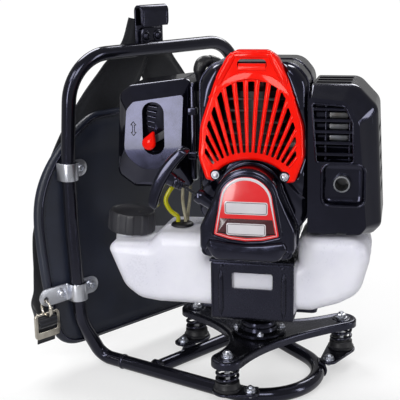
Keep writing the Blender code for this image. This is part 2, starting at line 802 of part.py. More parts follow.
def spring_hardware(parent):
    """Rubber cup, long bolt and stop nut of each spring: the plate slides on the bolts."""
    cup = [(BOLT_R + CLEAR, 0), (15.0, 0), (15.0, 3.0), (13.0, LOWER_CUP_H), (BOLT_R + CLEAR, LOWER_CUP_H)]
    nut_z = PLATE_TOP_Z + CLEAR
    top = nut_z + NUT_H
    bolt = [(0, SEAT_Z - CLEAR - 4), (5.5, SEAT_Z - CLEAR - 4), (5.5, SEAT_Z - CLEAR), (BOLT_R, SEAT_Z - CLEAR),
            (BOLT_R, nut_z), (6.0, nut_z), (6.0, top), (BOLT_R, top), (BOLT_R, top + 2), (0, top + 2)]
    for seat, word in zip(SEATS, SEAT_WORDS):
        lathe(f"lower_buffer_{word}", cup, (*seat, LOWER_CUP_Z), (0, 0, 1), "rubber", parent, 16)
        lathe(f"spring_bolt_{word}", bolt, (*seat, 0), (0, 0, 1), "zinc", parent, 12)


def plate_outline():
    """Three round arm ends joined by hollow curves round the hub."""
    points = []
    arms = sorted(SEATS, key=lambda seat: math.atan2(seat[1], seat[0]))
    for i, seat in enumerate(arms):
        heading = math.atan2(seat[1], seat[0])
        end = []
        for k in range(6):
            turn = heading - math.pi / 2 + math.pi * k / 5
            end.append(Vector((seat[0] + PLATE_ARM_R * math.cos(turn), seat[1] + PLATE_ARM_R * math.sin(turn))))
        points += end
        following = arms[(i + 1) % 3]
        next_heading = math.atan2(following[1], following[0])
        gap = (next_heading - heading) % (2 * math.pi)
        middle = heading + gap / 2
        waist = Vector((PLATE_WAIST_R * math.cos(middle), PLATE_WAIST_R * math.sin(middle)))
        first = Vector((following[0] + PLATE_ARM_R * math.cos(next_heading - math.pi / 2),
                        following[1] + PLATE_ARM_R * math.sin(next_heading - math.pi / 2)))
        pull = 2 * waist - (end[-1] + first) / 2
        for k in range(1, 6):
            t = k / 6
            points.append((1 - t) ** 2 * end[-1] + 2 * t * (1 - t) * pull + t ** 2 * first)
    return [tuple(p) for p in points]


def spring_plate(parent):
    """Pressed steel plate with a turned-down rim."""
    outline = plate_outline()
    levels = (PLATE_TOP_Z - PLATE_T - PLATE_RIM, PLATE_TOP_Z)
    plate = shell("spring_plate", outline, [0.0] * len(outline), levels, 0, "black_paint", parent,
                  axis="Z", wall=PLATE_T)
    holes = [(*seat, PLATE_Z) for seat in SEATS]
    cut(plate, round_cutter("plate_bolt_holes", holes, BOLT_R + CLEAR, -3, 6, (0, 0, 1), parent))
    return cut(plate, round_cutter("plate_post_hole", [(0, 0, PLATE_Z)], POST_R + 1, -3, 6, (0, 0, 1), parent))


def hub_bolt_places():
    turns = [math.radians(45 + 90 * k) for k in range(4)]
    return [(HUB_BOLT_CIRCLE_R * math.cos(t), HUB_BOLT_CIRCLE_R * math.sin(t), HUB_Z + HUB_FLANGE_T - 0.2)
            for t in turns]


def swivel_hub(parent):
    """Bearing housing, its ring bearing and the four bolts that hold it to the plate."""
    top = HUB_FLANGE_T + HUB_H
    profile = [(POST_R + 1, 0), (HUB_FLANGE_R, 0), (HUB_FLANGE_R, HUB_FLANGE_T), (HUB_R + 1, HUB_FLANGE_T + 1),
               (HUB_R, top - 2), (HUB_R - 3, top), (POST_R + 1, top), (POST_R + 1, top - 3),
               (BEARING_R + CLEAR, top - 3), (BEARING_R + CLEAR, 3), (POST_R + 1, 3)]
    hub = lathe("swivel_hub", profile, (0, 0, HUB_Z), (0, 0, 1), "black_paint", parent, 16)
    bolts = bolt_tool("hub_bolts", hub_bolt_places(), disc(4.2, 0, 3.2), (0, 0, 1), parent, 6)
    cut(hub, bolts, operation="UNION")
    ring = disc(BEARING_R, 3 + CLEAR, top - 3 - CLEAR, POST_R + CLEAR)
    lathe("swivel_bearing", ring, (0, 0, HUB_Z), (0, 0, 1), "steel", parent, 20)


def swivel_post(parent):
    """The engine turns on this post: a flange under the cradle, a shaft through the hub and a nut."""
    top = CRADLE_Z[0] - CLEAR
    post = [(0, 42), (POST_R - 1, 42), (POST_R - 1, 43.5), (10.5, 43.5), (10.5, PLATE_Z - 0.6),
            (POST_R, PLATE_Z - 0.6), (POST_R, HUB_Z + HUB_FLANGE_T + HUB_H + 0.6),
            (13.0, HUB_Z + HUB_FLANGE_T + HUB_H + 0.6), (13.0, top - 2.5), (22.0, top - 2.5), (22.0, top), (0, top)]
    lathe("swivel_post", post, (0, 0, 0), (0, 0, 1), "black_paint", parent, 16)


# Tank and its cradle

def tank_cradle(parent):
    """Folded sheet that wraps the tank's waist: front, floor, rear and top, with a sight window."""
    y0, y1 = CRADLE_Y
    z0, z1 = CRADLE_Z
    ring = prisms("tank_cradle", [([(y0, z0), (y1, z0), (y1, z1), (y0, z1)], -CRADLE_HALF_W, CRADLE_HALF_W, "X")],
                  "black_paint", parent)
    cut(ring, cutter("cradle_hollow", [([(y0 + SHEET, z0 + SHEET), (y1 - SHEET, z0 + SHEET),
                                         (y1 - SHEET, z1 - SHEET), (y0 + SHEET, z1 - SHEET)],
                                        -CRADLE_HALF_W - 5, CRADLE_HALF_W + 5, "X")], parent))
    (x0, x1), (w0, w1) = WINDOW
    cut(ring, cutter("window_cut", [(box_outline(x0, x1, w0, w1), y0 - 5, y0 + SHEET + 1, "Y")], parent))
    wing = [(-66, -14), (66, -14), (66, 30), (43, 45), (-43, 45), (-66, 30)]
    cut(ring, cutter("cradle_wings", [(wing, z0, z0 + SHEET, "Z")], parent), operation="UNION")
    return ring


def tank_outline():
    """Front view of the tank: filler shelf on the left, a waist in the cradle, a high right end."""
    floor = TANK_FLOOR_Z
    waist = CRADLE_Z[1] - SHEET - 0.6
    side = CRADLE_HALF_W + 3
    lobe = floor + LOBE_RISE
    return [(-112, lobe), (-side, lobe), (-side + 4, floor), (side - 4, floor), (side, lobe), (62, lobe),
            (92, lobe + 10), (113, 120), (123, 158), (120, 172), (106, 181),
            (side + 6, 182), (side, 174), (side, waist), (-side, waist), (-side, 172), (-side - 8, 179),
            (-104, 178), (-116, 166), (-160, 165), (-167, 158), (-158, 128), (-134, lobe + 8)]


def fuel_tank(parent):
    """Blow-moulded tank with a filler neck and a hole for the hose grommet."""
    radii = [10, 3, 3, 3, 3, 10, 20, 14, 12, 10, 8, 4, 3, 3, 3, 4, 6, 8, 4, 5, 8, 14, 14]
    outline = rounded(tank_outline(), radii, 1)
    tank = prism("fuel_tank", outline, TANK_Y[0], TANK_Y[1], "tank_plastic", parent)
    bevel(tank, 9.0, 1, 60)
    neck = round_cutter("tank_neck", [cap_place(-8)], NECK_R, 0, 18, cap_axis(), parent, 20)
    hole = round_cutter("grommet_hole", [(GROMMET_X, GROMMET_Y, 180)], 7.0, -14, 12, (0, 0, 1), parent, 16)
    cut(tank, neck, operation="UNION")
    cut(tank, hole)
    return tank


def cap_axis():
    tilt = math.radians(CAP_TILT)
    return (math.sin(tilt), 0, math.cos(tilt))


def cap_place(height):
    """A point on the filler's axis at a height above the tank's shelf."""
    x, _, z = cap_axis()
    return (CAP_X + x * height, 0, SHELF_Z + z * height)


def tank_cap(parent):
    """Ribbed screw cap over the neck."""
    count = 36
    shape = bmesh.new()
    frame = Vector((0, 0, 1)).rotation_difference(Vector(cap_axis())).to_matrix()
    rings = []
    for radius, height, ribbed in ((NECK_R + 0.6, 3.6, 0), (CAP_R, 3.6, 1), (CAP_R, CAP_H + 2, 1),
                                   (CAP_R - 2.5, CAP_H + 4, 0), (0, CAP_H + 4, 0), (0, 11.0, 0),
                                   (NECK_R + 0.6, 11.0, 0)):
        if radius == 0:
            rings.append([shape.verts.new(Vector(cap_place(0)) + frame @ Vector((0, 0, height)))])
            continue
        ring = []
        for k in range(count):
            reach = radius - (1.0 if ribbed and k % 3 == 0 else 0.0)
            turn = 2 * math.pi * k / count
            point = Vector((reach * math.cos(turn), reach * math.sin(turn), height))
            ring.append(shape.verts.new(Vector(cap_place(0)) + frame @ point))
        rings.append(ring)
    for a in range(len(rings)):
        lower, upper = rings[a], rings[(a + 1) % len(rings)]
        if len(lower) == 1 and len(upper) == 1:
            continue
        for k in range(count):
            n = (k + 1) % count
            if len(upper) == 1:
                shape.faces.new((lower[k], lower[n], upper[0]))
            elif len(lower) == 1:
                shape.faces.new((lower[0], upper[n], upper[k]))
            else:
                shape.faces.new((lower[k], lower[n], upper[n], upper[k]))
    return set_axis(add("tank_cap", to_mesh("tank_cap", shape), "black_plastic", parent), cap_place(0))


def fuel_hoses(parent):
    """Grommet in the tank's top and three hoses from it up to the carburettor."""
    profile = [(0, -12), (6.6, -12), (6.6, 0), (GROMMET_R, 0), (GROMMET_R - 2, 3.0), (9.0, 4.0), (0, 4.0)]
    lathe("tank_grommet", profile, (GROMMET_X, GROMMET_Y, 179.3), (0, 0, 1), "rubber", parent, 14)
    for name, finish, radius, (start, *route) in HOSES:
        tube(name, smooth_route([(*start, GROMMET_TOP_Z), *route], 5.0), radius, finish, parent, resolution=2)


# Engine core

def crankcase(parent):
    """Cast case on the cradle's top, with bearings for the crankshaft and a mouth for the cylinder."""
    z0 = CRADLE_Z[1] + CLEAR
    half = CASE_HALF_W
    outline = [(-36, z0), (36, z0), (half - 2, 165), (half, 187), (half, CASE_TOP_Z), (-half, CASE_TOP_Z),
               (-half, 187), (2 - half, 165)]
    case = prism("crankcase", outline, COVER_Y[1] + 2, CRANKCASE_Y[1], "aluminium", parent)
    y0 = CRANKCASE_Y[0]
    boss = cutter("case_boss", [(box_outline(-30, 30, z0 + 4, CRANK_Z + 16), y0, COVER_Y[1] + 4, "Y")], parent)
    cut(case, boss, operation="UNION")
    bore = CRANK_R + CLEAR
    hollow = [(0, -5), (bore, -5), (bore, 14), (26.5, 14), (26.5, 70), (bore, 70), (bore, 90), (0, 90)]
    shape = turned_faces(bmesh.new(), hollow, (0, y0, CRANK_Z), (0, 1, 0), 20, 0.1)
    cut(case, hide(add("case_bore", to_mesh("case_bore", shape), None, parent)))
    return cut(case, round_cutter("case_mouth", [(0, CYLINDER_Y, 222)], BORE_R, 0, 40, (0, 0, 1), parent, 18))


def cylinder(parent):
    """Finned barrel and head, with an open bore that the piston slides in."""
    z, top = CASE_TOP_Z + CLEAR, CYLINDER_TOP_Z
    shape = bmesh.new()
    turned_faces(shape, disc(26.0, 0, top - z - 2), (0, CYLINDER_Y, z), (0, 0, 1), 20)
    barrel = add("cylinder", to_mesh("cylinder", shape), "aluminium", parent)
    fins = []
    level = z + 14
    while level < top - 3:
        fins.append((rounded(box_outline(-FIN_HALF_W, FIN_HALF_W, CYLINDER_Y - 28, CYLINDER_Y + 30), 8, 1),
                     level, level + 2.2, "Z"))
        level += FIN_PITCH
    tools = cutter("cylinder_fins", fins, parent)
    cut(barrel, tools, operation="UNION")
    place = [(0, CYLINDER_Y, z - 5)]
    return cut(barrel, round_cutter("cylinder_bore", place, BORE_R, 0, top - z - 12, (0, 0, 1), parent, 24))


def crank_parts(parent):
    """Crankshaft with its two webs, the fan flywheel and the clutch shoes, all turning together."""
    shaft = [(0, -46), (CRANK_R, -46), (CRANK_R, -34), (22, -34), (22, -26), (CRANK_R, -26), (CRANK_R, 2),
             (22, 2), (22, 10), (CRANK_R, 10), (CRANK_R, 56), (24, 56), (24, 64), (0, 64)]
    set_axis(lathe("crankshaft", shaft, (0, 0, CRANK_Z), (0, 1, 0), "steel", parent, 14), (0, 0, CRANK_Z))
    rim = [(CRANK_R + CLEAR, 38), (FLYWHEEL_R, 38), (FLYWHEEL_R, 42), (18, 42), (18, 50), (CRANK_R + CLEAR, 50)]
    wheel = lathe("fan_flywheel", rim, (0, 0, CRANK_Z), (0, 1, 0), "aluminium", parent, 24)
    blades = []
    for k in range(9):
        turn = 2 * math.pi * k / 9
        blades.append(([(21 * math.cos(turn) - math.sin(turn), CRANK_Z + 21 * math.sin(turn) + math.cos(turn)),
                        (21 * math.cos(turn) + math.sin(turn), CRANK_Z + 21 * math.sin(turn) - math.cos(turn)),
                        (40 * math.cos(turn) + math.sin(turn), CRANK_Z + 40 * math.sin(turn) - math.cos(turn)),
                        (40 * math.cos(turn) - math.sin(turn), CRANK_Z + 40 * math.sin(turn) + math.cos(turn))],
                       41.5, 49, "Y"))
    cut(wheel, cutter("fan_blades", blades, parent), operation="UNION")
    set_axis(wheel, (0, 0, CRANK_Z))


# Fan side

def shroud_outline():
    half = [(42, 363), (56.3, 346), (57, 204), (45, 187), (43, 164)]
    return mirrored(half)


def fan_shroud(parent):
    """Black cowl round the cylinder and flywheel: open towards the front and underneath."""
    y0, y1 = SHROUD_Y
    radii = [12, 12, 9, 9, 2, 2, 9, 9, 12, 12]
    cowl = shell("fan_shroud", shroud_outline(), radii, (y0, y1 - CLEAR), 7.0, "black_plastic", parent)
    floor = cutter("shroud_floor_cut", [(box_outline(-50, 50, 150, 167), y0 - 5, y1 - 12, "Y")], parent)
    intake = cutter("shroud_intake_cut", [([(-22, 222), (22, 222), (22, 272), (-22, 272)], -70, -50, "X")], parent)
    exhaust = cutter("shroud_exhaust_cut", [([(-26, 252), (26, 252), (26, 292), (-26, 292)], 50, 70, "X")], parent)
    inlet = round_cutter("fan_inlet_cut", [(0, y1 - 10, CRANK_Z)], 28.0, 0, 20, (0, 1, 0), parent, 24)
    return cut(cowl, floor, intake, exhaust, inlet)


def clutch_side(parent):
    """Clutch case with its output flange, and the drum that the drive shaft plugs into."""
    y0, y1 = CLUTCH_Y
    profile = [(30.0, y0), (46, y0), (46, y0 + 3), (36, y0 + 8), (30, y1 - 10), (26, y1 - 6), (26, y1),
               (DRUM_SHAFT_R + CLEAR, y1), (DRUM_SHAFT_R + CLEAR, y1 - 12), (28.2, y1 - 16)]
    lathe("clutch_case", profile, (0, 0, CRANK_Z), (0, 1, 0), "aluminium", parent, 20)
    profile = [(25.2, y0 + 1), (27.0, y0 + 1), (27.0, y1 - 17.5), (DRUM_SHAFT_R, y1 - 17.0), (DRUM_SHAFT_R, y1 - 4),
               (5.0, y1 - 4), (5.0, y1 - 19.6), (25.2, y1 - 19.6)]
    drum = lathe("clutch_drum", profile, (0, 0, CRANK_Z), (0, 1, 0), "steel", parent, 16)
    set_axis(drum, (0, 0, CRANK_Z))


# Starter

def starter_outline():
    """Front view of the starter housing: a round top that widens to square shoulders."""
    points = []
    for k in range(9):
        turn = math.pi * (0.06 + 0.88 * k / 8)
        points.append((33 * math.cos(turn), 236 + 33 * math.sin(turn)))
    foot = [(-36, 216), (-48, 198), (-49, 178), (-42, 168), (42, 168), (49, 178), (48, 198), (36, 216)]
    return points + foot, [0.0] * len(points) + [12, 10, 6, 6, 6, 6, 10, 12]


def pull_direction():
    turn = math.radians(PULL_ANGLE)
    return Vector((-math.cos(turn), 0, math.sin(turn)))


def rope_start():
    """Where the rope leaves the reel's groove, as a tangent below the reel's axis."""
    turn = math.radians(PULL_ANGLE)
    return Vector((-ROPE_REEL_R * math.sin(turn), ROPE_Y, CRANK_Z - ROPE_REEL_R * math.cos(turn)))


def starter_parts(parent):
    """Housing, reel on its stub and the rewind spring's flat case."""
    y0, y1 = STARTER_Y
    corners, radii = starter_outline()
    housing = shell("starter_housing", corners, radii, (y1, y0), 4.0, "black_plastic", parent)
    guide = round_cutter("rope_guide", [rope_start()], 6.5, 29, 53, pull_direction(), parent, 14)
    stub = round_cutter("starter_stub", [(0, y0 + 1, CRANK_Z)], 5.0, 0, y1 - y0 - 8, (0, 1, 0), parent, 16)
    cut(housing, stub, guide, operation="UNION")
    hole = round_cutter("rope_hole", [rope_start()], 3.0, 22, 60, pull_direction(), parent, 14)
    cut(housing, hole)
    floor = ROPE_REEL_R - ROPE_R - CLEAR
    groove = [(5.0 + CLEAR, -11), (REEL_R, -11), (REEL_R, -8.6), (floor, -7), (floor, 7), (REEL_R, 8.6),
              (REEL_R, 10), (5.0 + CLEAR, 10)]
    reel = lathe("starter_reel", groove, (0, ROPE_Y + 1, CRANK_Z), (0, 1, 0), "black_plastic", parent, 18)
    set_axis(reel, (0, 0, CRANK_Z))


def starter_handle(parent):
    """Rope and its T grip: a neck on the rope's end and a curved bar across it."""
    start, along = rope_start(), pull_direction()
    rope_end = start + along * ROPE_LENGTH
    tube("starter_rope", [start, start + along * 30, rope_end], ROPE_R, "webbing", parent, resolution=1)
    neck_start = rope_end + along * CLEAR
    across = Vector((along.z, 0, -along.x))
    neck = [(0, 0), (5.0, 0), (6.5, 4), (6.5, 19), (0, 19)]
    shape = turned_faces(bmesh.new(), neck, neck_start, along, 12)
    handle = add("starter_handle", to_mesh("starter_handle", shape), "black_plastic", parent)
    centre = neck_start + along * 23
    front, back = [], []
    steps = 10
    for k in range(steps + 1):
        share = 2 * k / steps - 1
        spine = centre + across * (share * GRIP_LENGTH / 2) - along * (7 * share ** 2)
        half = 6.5 - 1.5 * abs(share) ** 3
        front.append((spine + along * half))
        back.append((spine - along * half))
    outline = [(p.x, p.z) for p in front] + [(p.x, p.z) for p in reversed(back)]
    bar = hide(prisms("grip_bar", [(outline, ROPE_Y - 11, ROPE_Y + 11, "Y")], None, parent))
    bevel(bar, 3.0, 1, 50)
    return cut(handle, bar, operation="UNION")


def badge_outline():
    points = []
    for k in range(9):
        turn = math.pi * (0.02 + 0.96 * k / 8)
        points.append((27 * math.cos(turn), 229 + 26 * math.sin(turn)))
    return points + [(-33.5, 194), (-17, 189.5), (0, 188), (17, 189.5), (33.5, 194)]


def badge_plate(parent):
    """Plain plate on the starter's face: it carries no words."""
    front = STARTER_Y[0] - CLEAR
    return prism("badge_plate", badge_outline(), front - BADGE_T, front, "badge", parent)


# Red cylinder cover

def cover_outline():
    left_arch = []
    for k in range(9):
        turn = math.pi * (0.97 - 0.94 * k / 8)
        left_arch.append((37.5 * math.cos(turn), 234 + 39 * math.sin(turn)))
    right = [(48, 245), (54, 268), (53, 300), (38, 347), (26, 371), (16, 377)]
    left = [(-x, z) for x, z in right]
    radii = [4, 20, 30, 60, 14, 9]
    return left + right[::-1] + left_arch[::-1], radii + radii[::-1] + [0.0] * len(left_arch)


def slot_outline(turn, inner, outer, half):
    """One cooling slot: a narrow bar from an inner to an outer radius about the crank axis."""
    along = Vector((math.sin(turn), math.cos(turn)))
    side = Vector((along.y, -along.x))
    centre = Vector((0, GRILLE_Z))
    points = [centre + along * inner - side * half * 0.8, centre + along * inner + side * half * 0.8,
              centre + along * outer + side * half * 1.3, centre + along * outer - side * half * 1.3]
    return [tuple(p) for p in points]


def slot_reach(turn):
    """Outer end of a slot: it stops inside the cover's narrowing sides and its top arch."""
    side = abs(math.sin(turn))
    reach = GRILLE_OUTER
    if side > 0.05:
        reach = min(reach, 47.0 / side)
    if side > 0.2:
        reach = min(reach, 50.0 / (side * 0.90 + 0.12 * math.cos(turn)))
    return reach


def cylinder_cover(parent):
    """Red cover: a hollow front with fan-shaped slots and a carrying loop moulded on its top."""
    y0, y1 = COVER_Y
    corners, radii = cover_outline()
    cover = shell("cylinder_cover", corners, radii, (y1, y0), 6.0, "red_plastic", parent,
                  lean=(COVER_LEAN, COVER_LEAN_FROM))
    slots = []
    for k in range(SLOTS):
        turn = math.radians(SLOT_FAN * (k / (SLOTS - 1) - 0.5))
        outer = slot_reach(turn)
        slots.append((slot_outline(turn, GRILLE_INNER, outer, 2.0), y0 - 5, y1 + 5, "Y"))
    slots.append((rounded(box_outline(-16, 16, 355, 367), 4, 2), y0 - 5, y1 + 5, "Y"))
    cut(cover, cutter("cooling_slots", slots, parent))
    heads = [(x, y0 + 0.5, z) for x, z in COVER_SCREWS]
    screws = bolt_tool("cover_screws", heads, disc(5.0, 0, 3.5), (0, -1, 0), parent)
    return cut(cover, screws, operation="UNION")



# Silencer side

def muffler_parts(parent):
    """Louvred cover over a silencer box whose outlet pipe looks through a square recess."""
    y0, y1 = MUFFLER_COVER_Y
    cover = shell("muffler_cover", MUFFLER_CORNERS, MUFFLER_RADII, (y1, y0), 8.0, "black_plastic", parent)
    window = [(box_outline(70, 103, 272 + 9.5 * k, 277.5 + 9.5 * k), y0 - 5, y0 + 5, "Y") for k in range(6)]
    outlet = (rounded(box_outline(72, 116, 218, 262), 7, 2), y0 - 5, y0 + 5, "Y")
    top = [(box_outline(66, 98, -34 + 14 * k, -28 + 14 * k), 330, 350, "Z") for k in range(5)]
    side = [([(-34, 226 + 16 * k), (30, 226 + 16 * k), (30, 232 + 16 * k), (-34, 232 + 16 * k)], 115, 140, "X")
            for k in range(5)]
    inlet = (box_outline(-15, 15, 256, 288), 52, 66, "X")
    cut(cover, cutter("cover_louvres", window + [outlet, inlet] + top + side, parent))
    box = prism("muffler", rounded(box_outline(64, 116, 205, 300), 8, 2), -34, 34, "steel", parent)
    outlet_pipe = round_cutter("outlet_pipe", [(92, -41, 240)], 9.0, 0, 12, (0, 1, 0), parent, 20)
    port = round_cutter("exhaust_port", [(FIN_HALF_W + CLEAR, 0, 272)], 11.0, 0, 33, (1, 0, 0), parent, 16)
    bore = round_cutter("outlet_bore", [(92, -46, 240)], 7.0, 0, 30, (0, 1, 0), parent, 20)
    cut(box, outlet_pipe, port, operation="UNION")
    cut(box, bore)
    return cover


# Intake side

def intake_parts(parent):
    """Carburettor on its insulator, the filter base, the foam and the slotted cover."""
    y0, y1 = AIR_Y
    cover = shell("air_cleaner_cover", AIR_CORNERS, AIR_RADII, (y1 - 4, y0), 8.0, "black_plastic", parent)
    slot = rounded(box_outline(-121.5, -97.5, 263, 320), 11.5, 4)
    cut(cover, cutter("choke_slot", [(slot, y0 - 5, y0 + 5, "Y")], parent))
    inner = ring_outline(AIR_CORNERS, AIR_RADII, 2, SHELL + CLEAR)
    base = prism("air_cleaner_base", inner, y1 - 12, y1 - 4, "black_plastic", parent)
    foam = ring_outline(AIR_CORNERS, AIR_RADII, 2, FOAM_INSET)
    prism("filter_foam", foam, 6, y1 - 12 - CLEAR, "foam", parent)
    wall = round_cutter("carb_throat_cut", [(-80, 0, 247)], 13.5, 0, 16, (1, 0, 0), parent, 20)
    cut(cover, wall)
    body = prism("carburettor", rounded(box_outline(-92, -64, 233, 262), 3, 2), -16, 3, "aluminium", parent)
    throat = round_cutter("carb_throat", [(-66, -2, 247)], 11.0, 0, 66 - CASE_HALF_W - CLEAR, (1, 0, 0), parent, 14)
    cut(body, throat, operation="UNION")
    cut(cover, cutter("carb_body_cut", [(box_outline(-94, -60, 220, 262.3), -18.5, 5.5, "Y")], parent),
        cutter("hose_notch", [(box_outline(-107, -80, 217, 231), -19.5, -3, "Y")], parent))
    return base


def choke_lever(parent):
    """Lever behind the cover's face whose red knob stands through the slot."""
    y0 = AIR_Y[0]
    pivot, knob = Vector(LEVER_PIVOT), Vector(LEVER_KNOB)
    arm = prism("choke_lever", capsule(pivot - Vector((5, 0)), knob, 5.0, 3.5), y0 + SHELL + 0.8, y0 + SHELL + 2.8,
                "red_plastic", parent)
    stem = round_cutter("knob_stem", [(knob.x, y0 - 4, knob.y)], 2.4, 0, SHELL + 6, (0, 1, 0), parent, 12)
    tip = Vector((8.5, 8.5))
    body = hide(prisms("knob_body", [(capsule(knob, knob + tip, 7.5, 2.0), y0 - 6.0, y0 - 1.0, "Y")], None, parent))
    cut(arm, stem, body, operation="UNION")
    return set_axis(arm, (pivot.x, y0, pivot.y))


# Ignition

def ignition(parent):
    """Plug in the cylinder head, the coil over the flywheel's rim and the lead between them."""
    y, top = CYLINDER_Y + 12, CYLINDER_TOP_Z - 2 + CLEAR
    plug = [(0, 0), (8, 0), (8, 5), (5, 6), (5, 12), (0, 12)]
    lathe("spark_plug", plug, (0, y, top), (0, 0, 1), "steel", parent, 8)
    low, high = CRANK_Z + FLYWHEEL_R + 0.6, CRANK_Z + FLYWHEEL_R + 26
    rear = SHROUD_Y[1] - SHELL - 2 * CLEAR
    prism("ignition_coil", box_outline(-16, 16, low, high), 38, rear, "black_plastic", parent)
    route = [(4, y, top + 15.6), (-8, y + 1, top + 15.4), (-14, y + 16, top + 12), (-13, 34, top - 2),
             (-8, 43, high + 14), (-8, 43, high + 1.5 * CLEAR)]
    tube("plug_lead", smooth_route(route, 8.0), 3.0, "rubber", parent, resolution=2)


# Harness

def top_hook(parent):
    """Folded strip on the top tube: a flat back, a narrow fold and a front lip."""
    foot = HOOP_TOP_Z + 2
    back_y = HOOP_END_Y + TUBE_R + CLEAR
    top = HOOK_TOP_Z
    fold = 7.0
    outer = [(back_y + HOOK_T, foot - 10)]
    inner = [(back_y, foot - 10)]
    centre = back_y + HOOK_T - fold
    steps = 6
    for k in range(steps + 1):
        turn = math.pi * k / steps
        outer.append((centre + fold * math.cos(turn), top - fold + fold * math.sin(turn)))
        inner.append((centre + (fold - HOOK_T) * math.cos(turn), top - fold + (fold - HOOK_T) * math.sin(turn)))
    outer.append((centre - fold, top - 24))
    inner.append((centre - fold + HOOK_T, top - 24))
    outline = outer + inner[::-1]
    hook = prism("top_hook", outline, HOOK_X - HOOK_W / 2, HOOK_X + HOOK_W / 2, "rubber", parent, axis="X")
    heads = [(HOOK_X + side * 9, HOOP_END_Y + 4.4 - CLEAR, HOOP_TOP_Z + 14) for side in (-1, 1)]
    shank = back_y + HOOK_T - 0.4 - heads[0][1]
    screws = bolt_tool("hook_bolts", heads, bolt_profile(BOLT_R, shank, 5.2, 3.5, 2.6), (0, -1, 0), parent)
    return cut(hook, screws, operation="UNION")


def hook_lug(hoop, parent):
    """Lug welded on the top tube that the hook bolts to."""
    y = HOOP_END_Y
    outline = box_outline(HOOK_X - 16, HOOK_X + 16, HOOP_TOP_Z, HOOP_TOP_Z + TUBE_R + 16)
    lug = cutter("hook_lug", [(outline, y + 4.4, y + TUBE_R, "Y")], parent)
    cut(hoop, lug, operation="UNION")
    holes = [(HOOK_X + side * 9, y, HOOP_TOP_Z + 14) for side in (-1, 1)]
    return cut(hoop, round_cutter("lug_holes", holes, BOLT_R + CLEAR, 0, 30, (0, 1, 0), parent, 12))


def strap_sections(side):
    """Places, widths and lie of a shoulder strap, from the top hook round the pad's edge to its buckle."""
    top_y = HOOP_END_Y + TUBE_R + CLEAR + HOOK_T + CLEAR + STRAP_T / 2
    down = [((HOOK_X + side * 7, top_y, 398), 34), ((HOOK_X + side * 14, top_y + 4, 366), 40),
            ((-4 + side * 34, 186, 335), STRAP_W),
            ((side * 62, 199, 300), STRAP_W), ((side * 84, 216, 255), STRAP_W), ((side * 101, 232, 200), STRAP_W),
            ((side * 116, 234, 145), STRAP_W)]
    sections = []
    for i, (place, width) in enumerate(down):
        before, after = Vector(down[max(0, i - 1)][0]), Vector(down[min(len(down) - 1, i + 1)][0])
        across = Vector((0, 1, 0)).cross((after - before).normalized())
        lift = (STRAP_T + 2.5) * (0 if side < 0 or i > 3 else 0.5 if i == 3 else 1)
        sections.append((Vector(place) + Vector((0, lift, 0)), across.normalized(), width, STRAP_T))
    buckle_back = clamp_face(LOWER_CLAMP_Z) - CLAMP_T / 2 + BUCKLE_T / 2 + 1.5 * CLEAR
    ends = [((130, 226, 104), (0.90, 0.1, 0.45), 40, 5.0), ((147, 213, 80), (0.70, 0.2, 0.70), 30, 3.0),
            ((164, 203, 68), (0.35, 0.2, 0.92), 25, 3.0), ((172, 190, 61), (0, 0, 1), 25, 3.0),
            ((172, buckle_back, 59), (0, 0, 1), 25, 3.0)]
    for (x, y, z), (u, v, w), width, thickness in ends:
        across = Vector((u * side, v, w)).normalized() * -side
        sections.append((Vector((x * side, y, z)), across, width, thickness))
    return sections


def shoulder_strap(side, word, parent):
    """A padded strap that hangs down the operator's side of the pad and narrows into webbing."""
    sections = strap_sections(side)
    shape = bmesh.new()
    rings = []
    for i, (centre, across, width, thickness) in enumerate(sections):
        before, after = sections[max(0, i - 1)][0], sections[min(len(sections) - 1, i + 1)][0]
        along = (after - before).normalized()
        outward = along.cross(across).normalized()
        corners = ((-0.5, -0.5), (0.5, -0.5), (0.5, 0.5), (-0.5, 0.5))
        rings.append([shape.verts.new(centre + across * (u * width) + outward * (v * thickness))
                      for u, v in corners])
    for a, b in zip(rings, rings[1:]):
        for k in range(4):
            n = (k + 1) % 4
            shape.faces.new((a[k], a[n], b[n], b[k]))
    shape.faces.new(rings[0])
    shape.faces.new(rings[-1])
    return add(f"shoulder_strap_{word}", to_mesh(f"shoulder_strap_{word}", shape), "webbing", parent)


def strap_fittings(side, word, parent):
    """A wire ring through the lower clamp's ear, and the ladder buckle that hangs in it."""
    x, y = side * EAR_HOLE_X, clamp_face(LOWER_CLAMP_Z) - CLAMP_T / 2
    centre_z = EAR_HOLE_Z - EAR_HOLE_R + CLEAR - (RING_R - RING_WIRE_R)
    profile = [(RING_R + RING_WIRE_R * math.cos(t), RING_WIRE_R * math.sin(t))
               for t in (2 * math.pi * k / 6 for k in range(6))]
    lathe(f"strap_hook_{word}", profile, (x, y, centre_z), (1, 0, 0), "zinc", parent, 16)
    top = centre_z - RING_R + RING_WIRE_R + 2 * CLEAR + BUCKLE_BAR
    frame = rounded(box_outline(x - BUCKLE_W / 2, x + BUCKLE_W / 2, top - BUCKLE_H, top), 4, 2)
    buckle = prism(f"strap_buckle_{word}", frame, y - BUCKLE_T / 2, y + BUCKLE_T / 2, "zinc", parent)
    slots = [(box_outline(x - BUCKLE_W / 2 + 4, x + BUCKLE_W / 2 - 4, top - BUCKLE_BAR - 8 - 11.5 * k,
                          top - BUCKLE_BAR - 11.5 * k), y - 5, y + 5, "Y") for k in range(2)]
    return cut(buckle, cutter(f"buckle_slots_{word}", slots, parent))


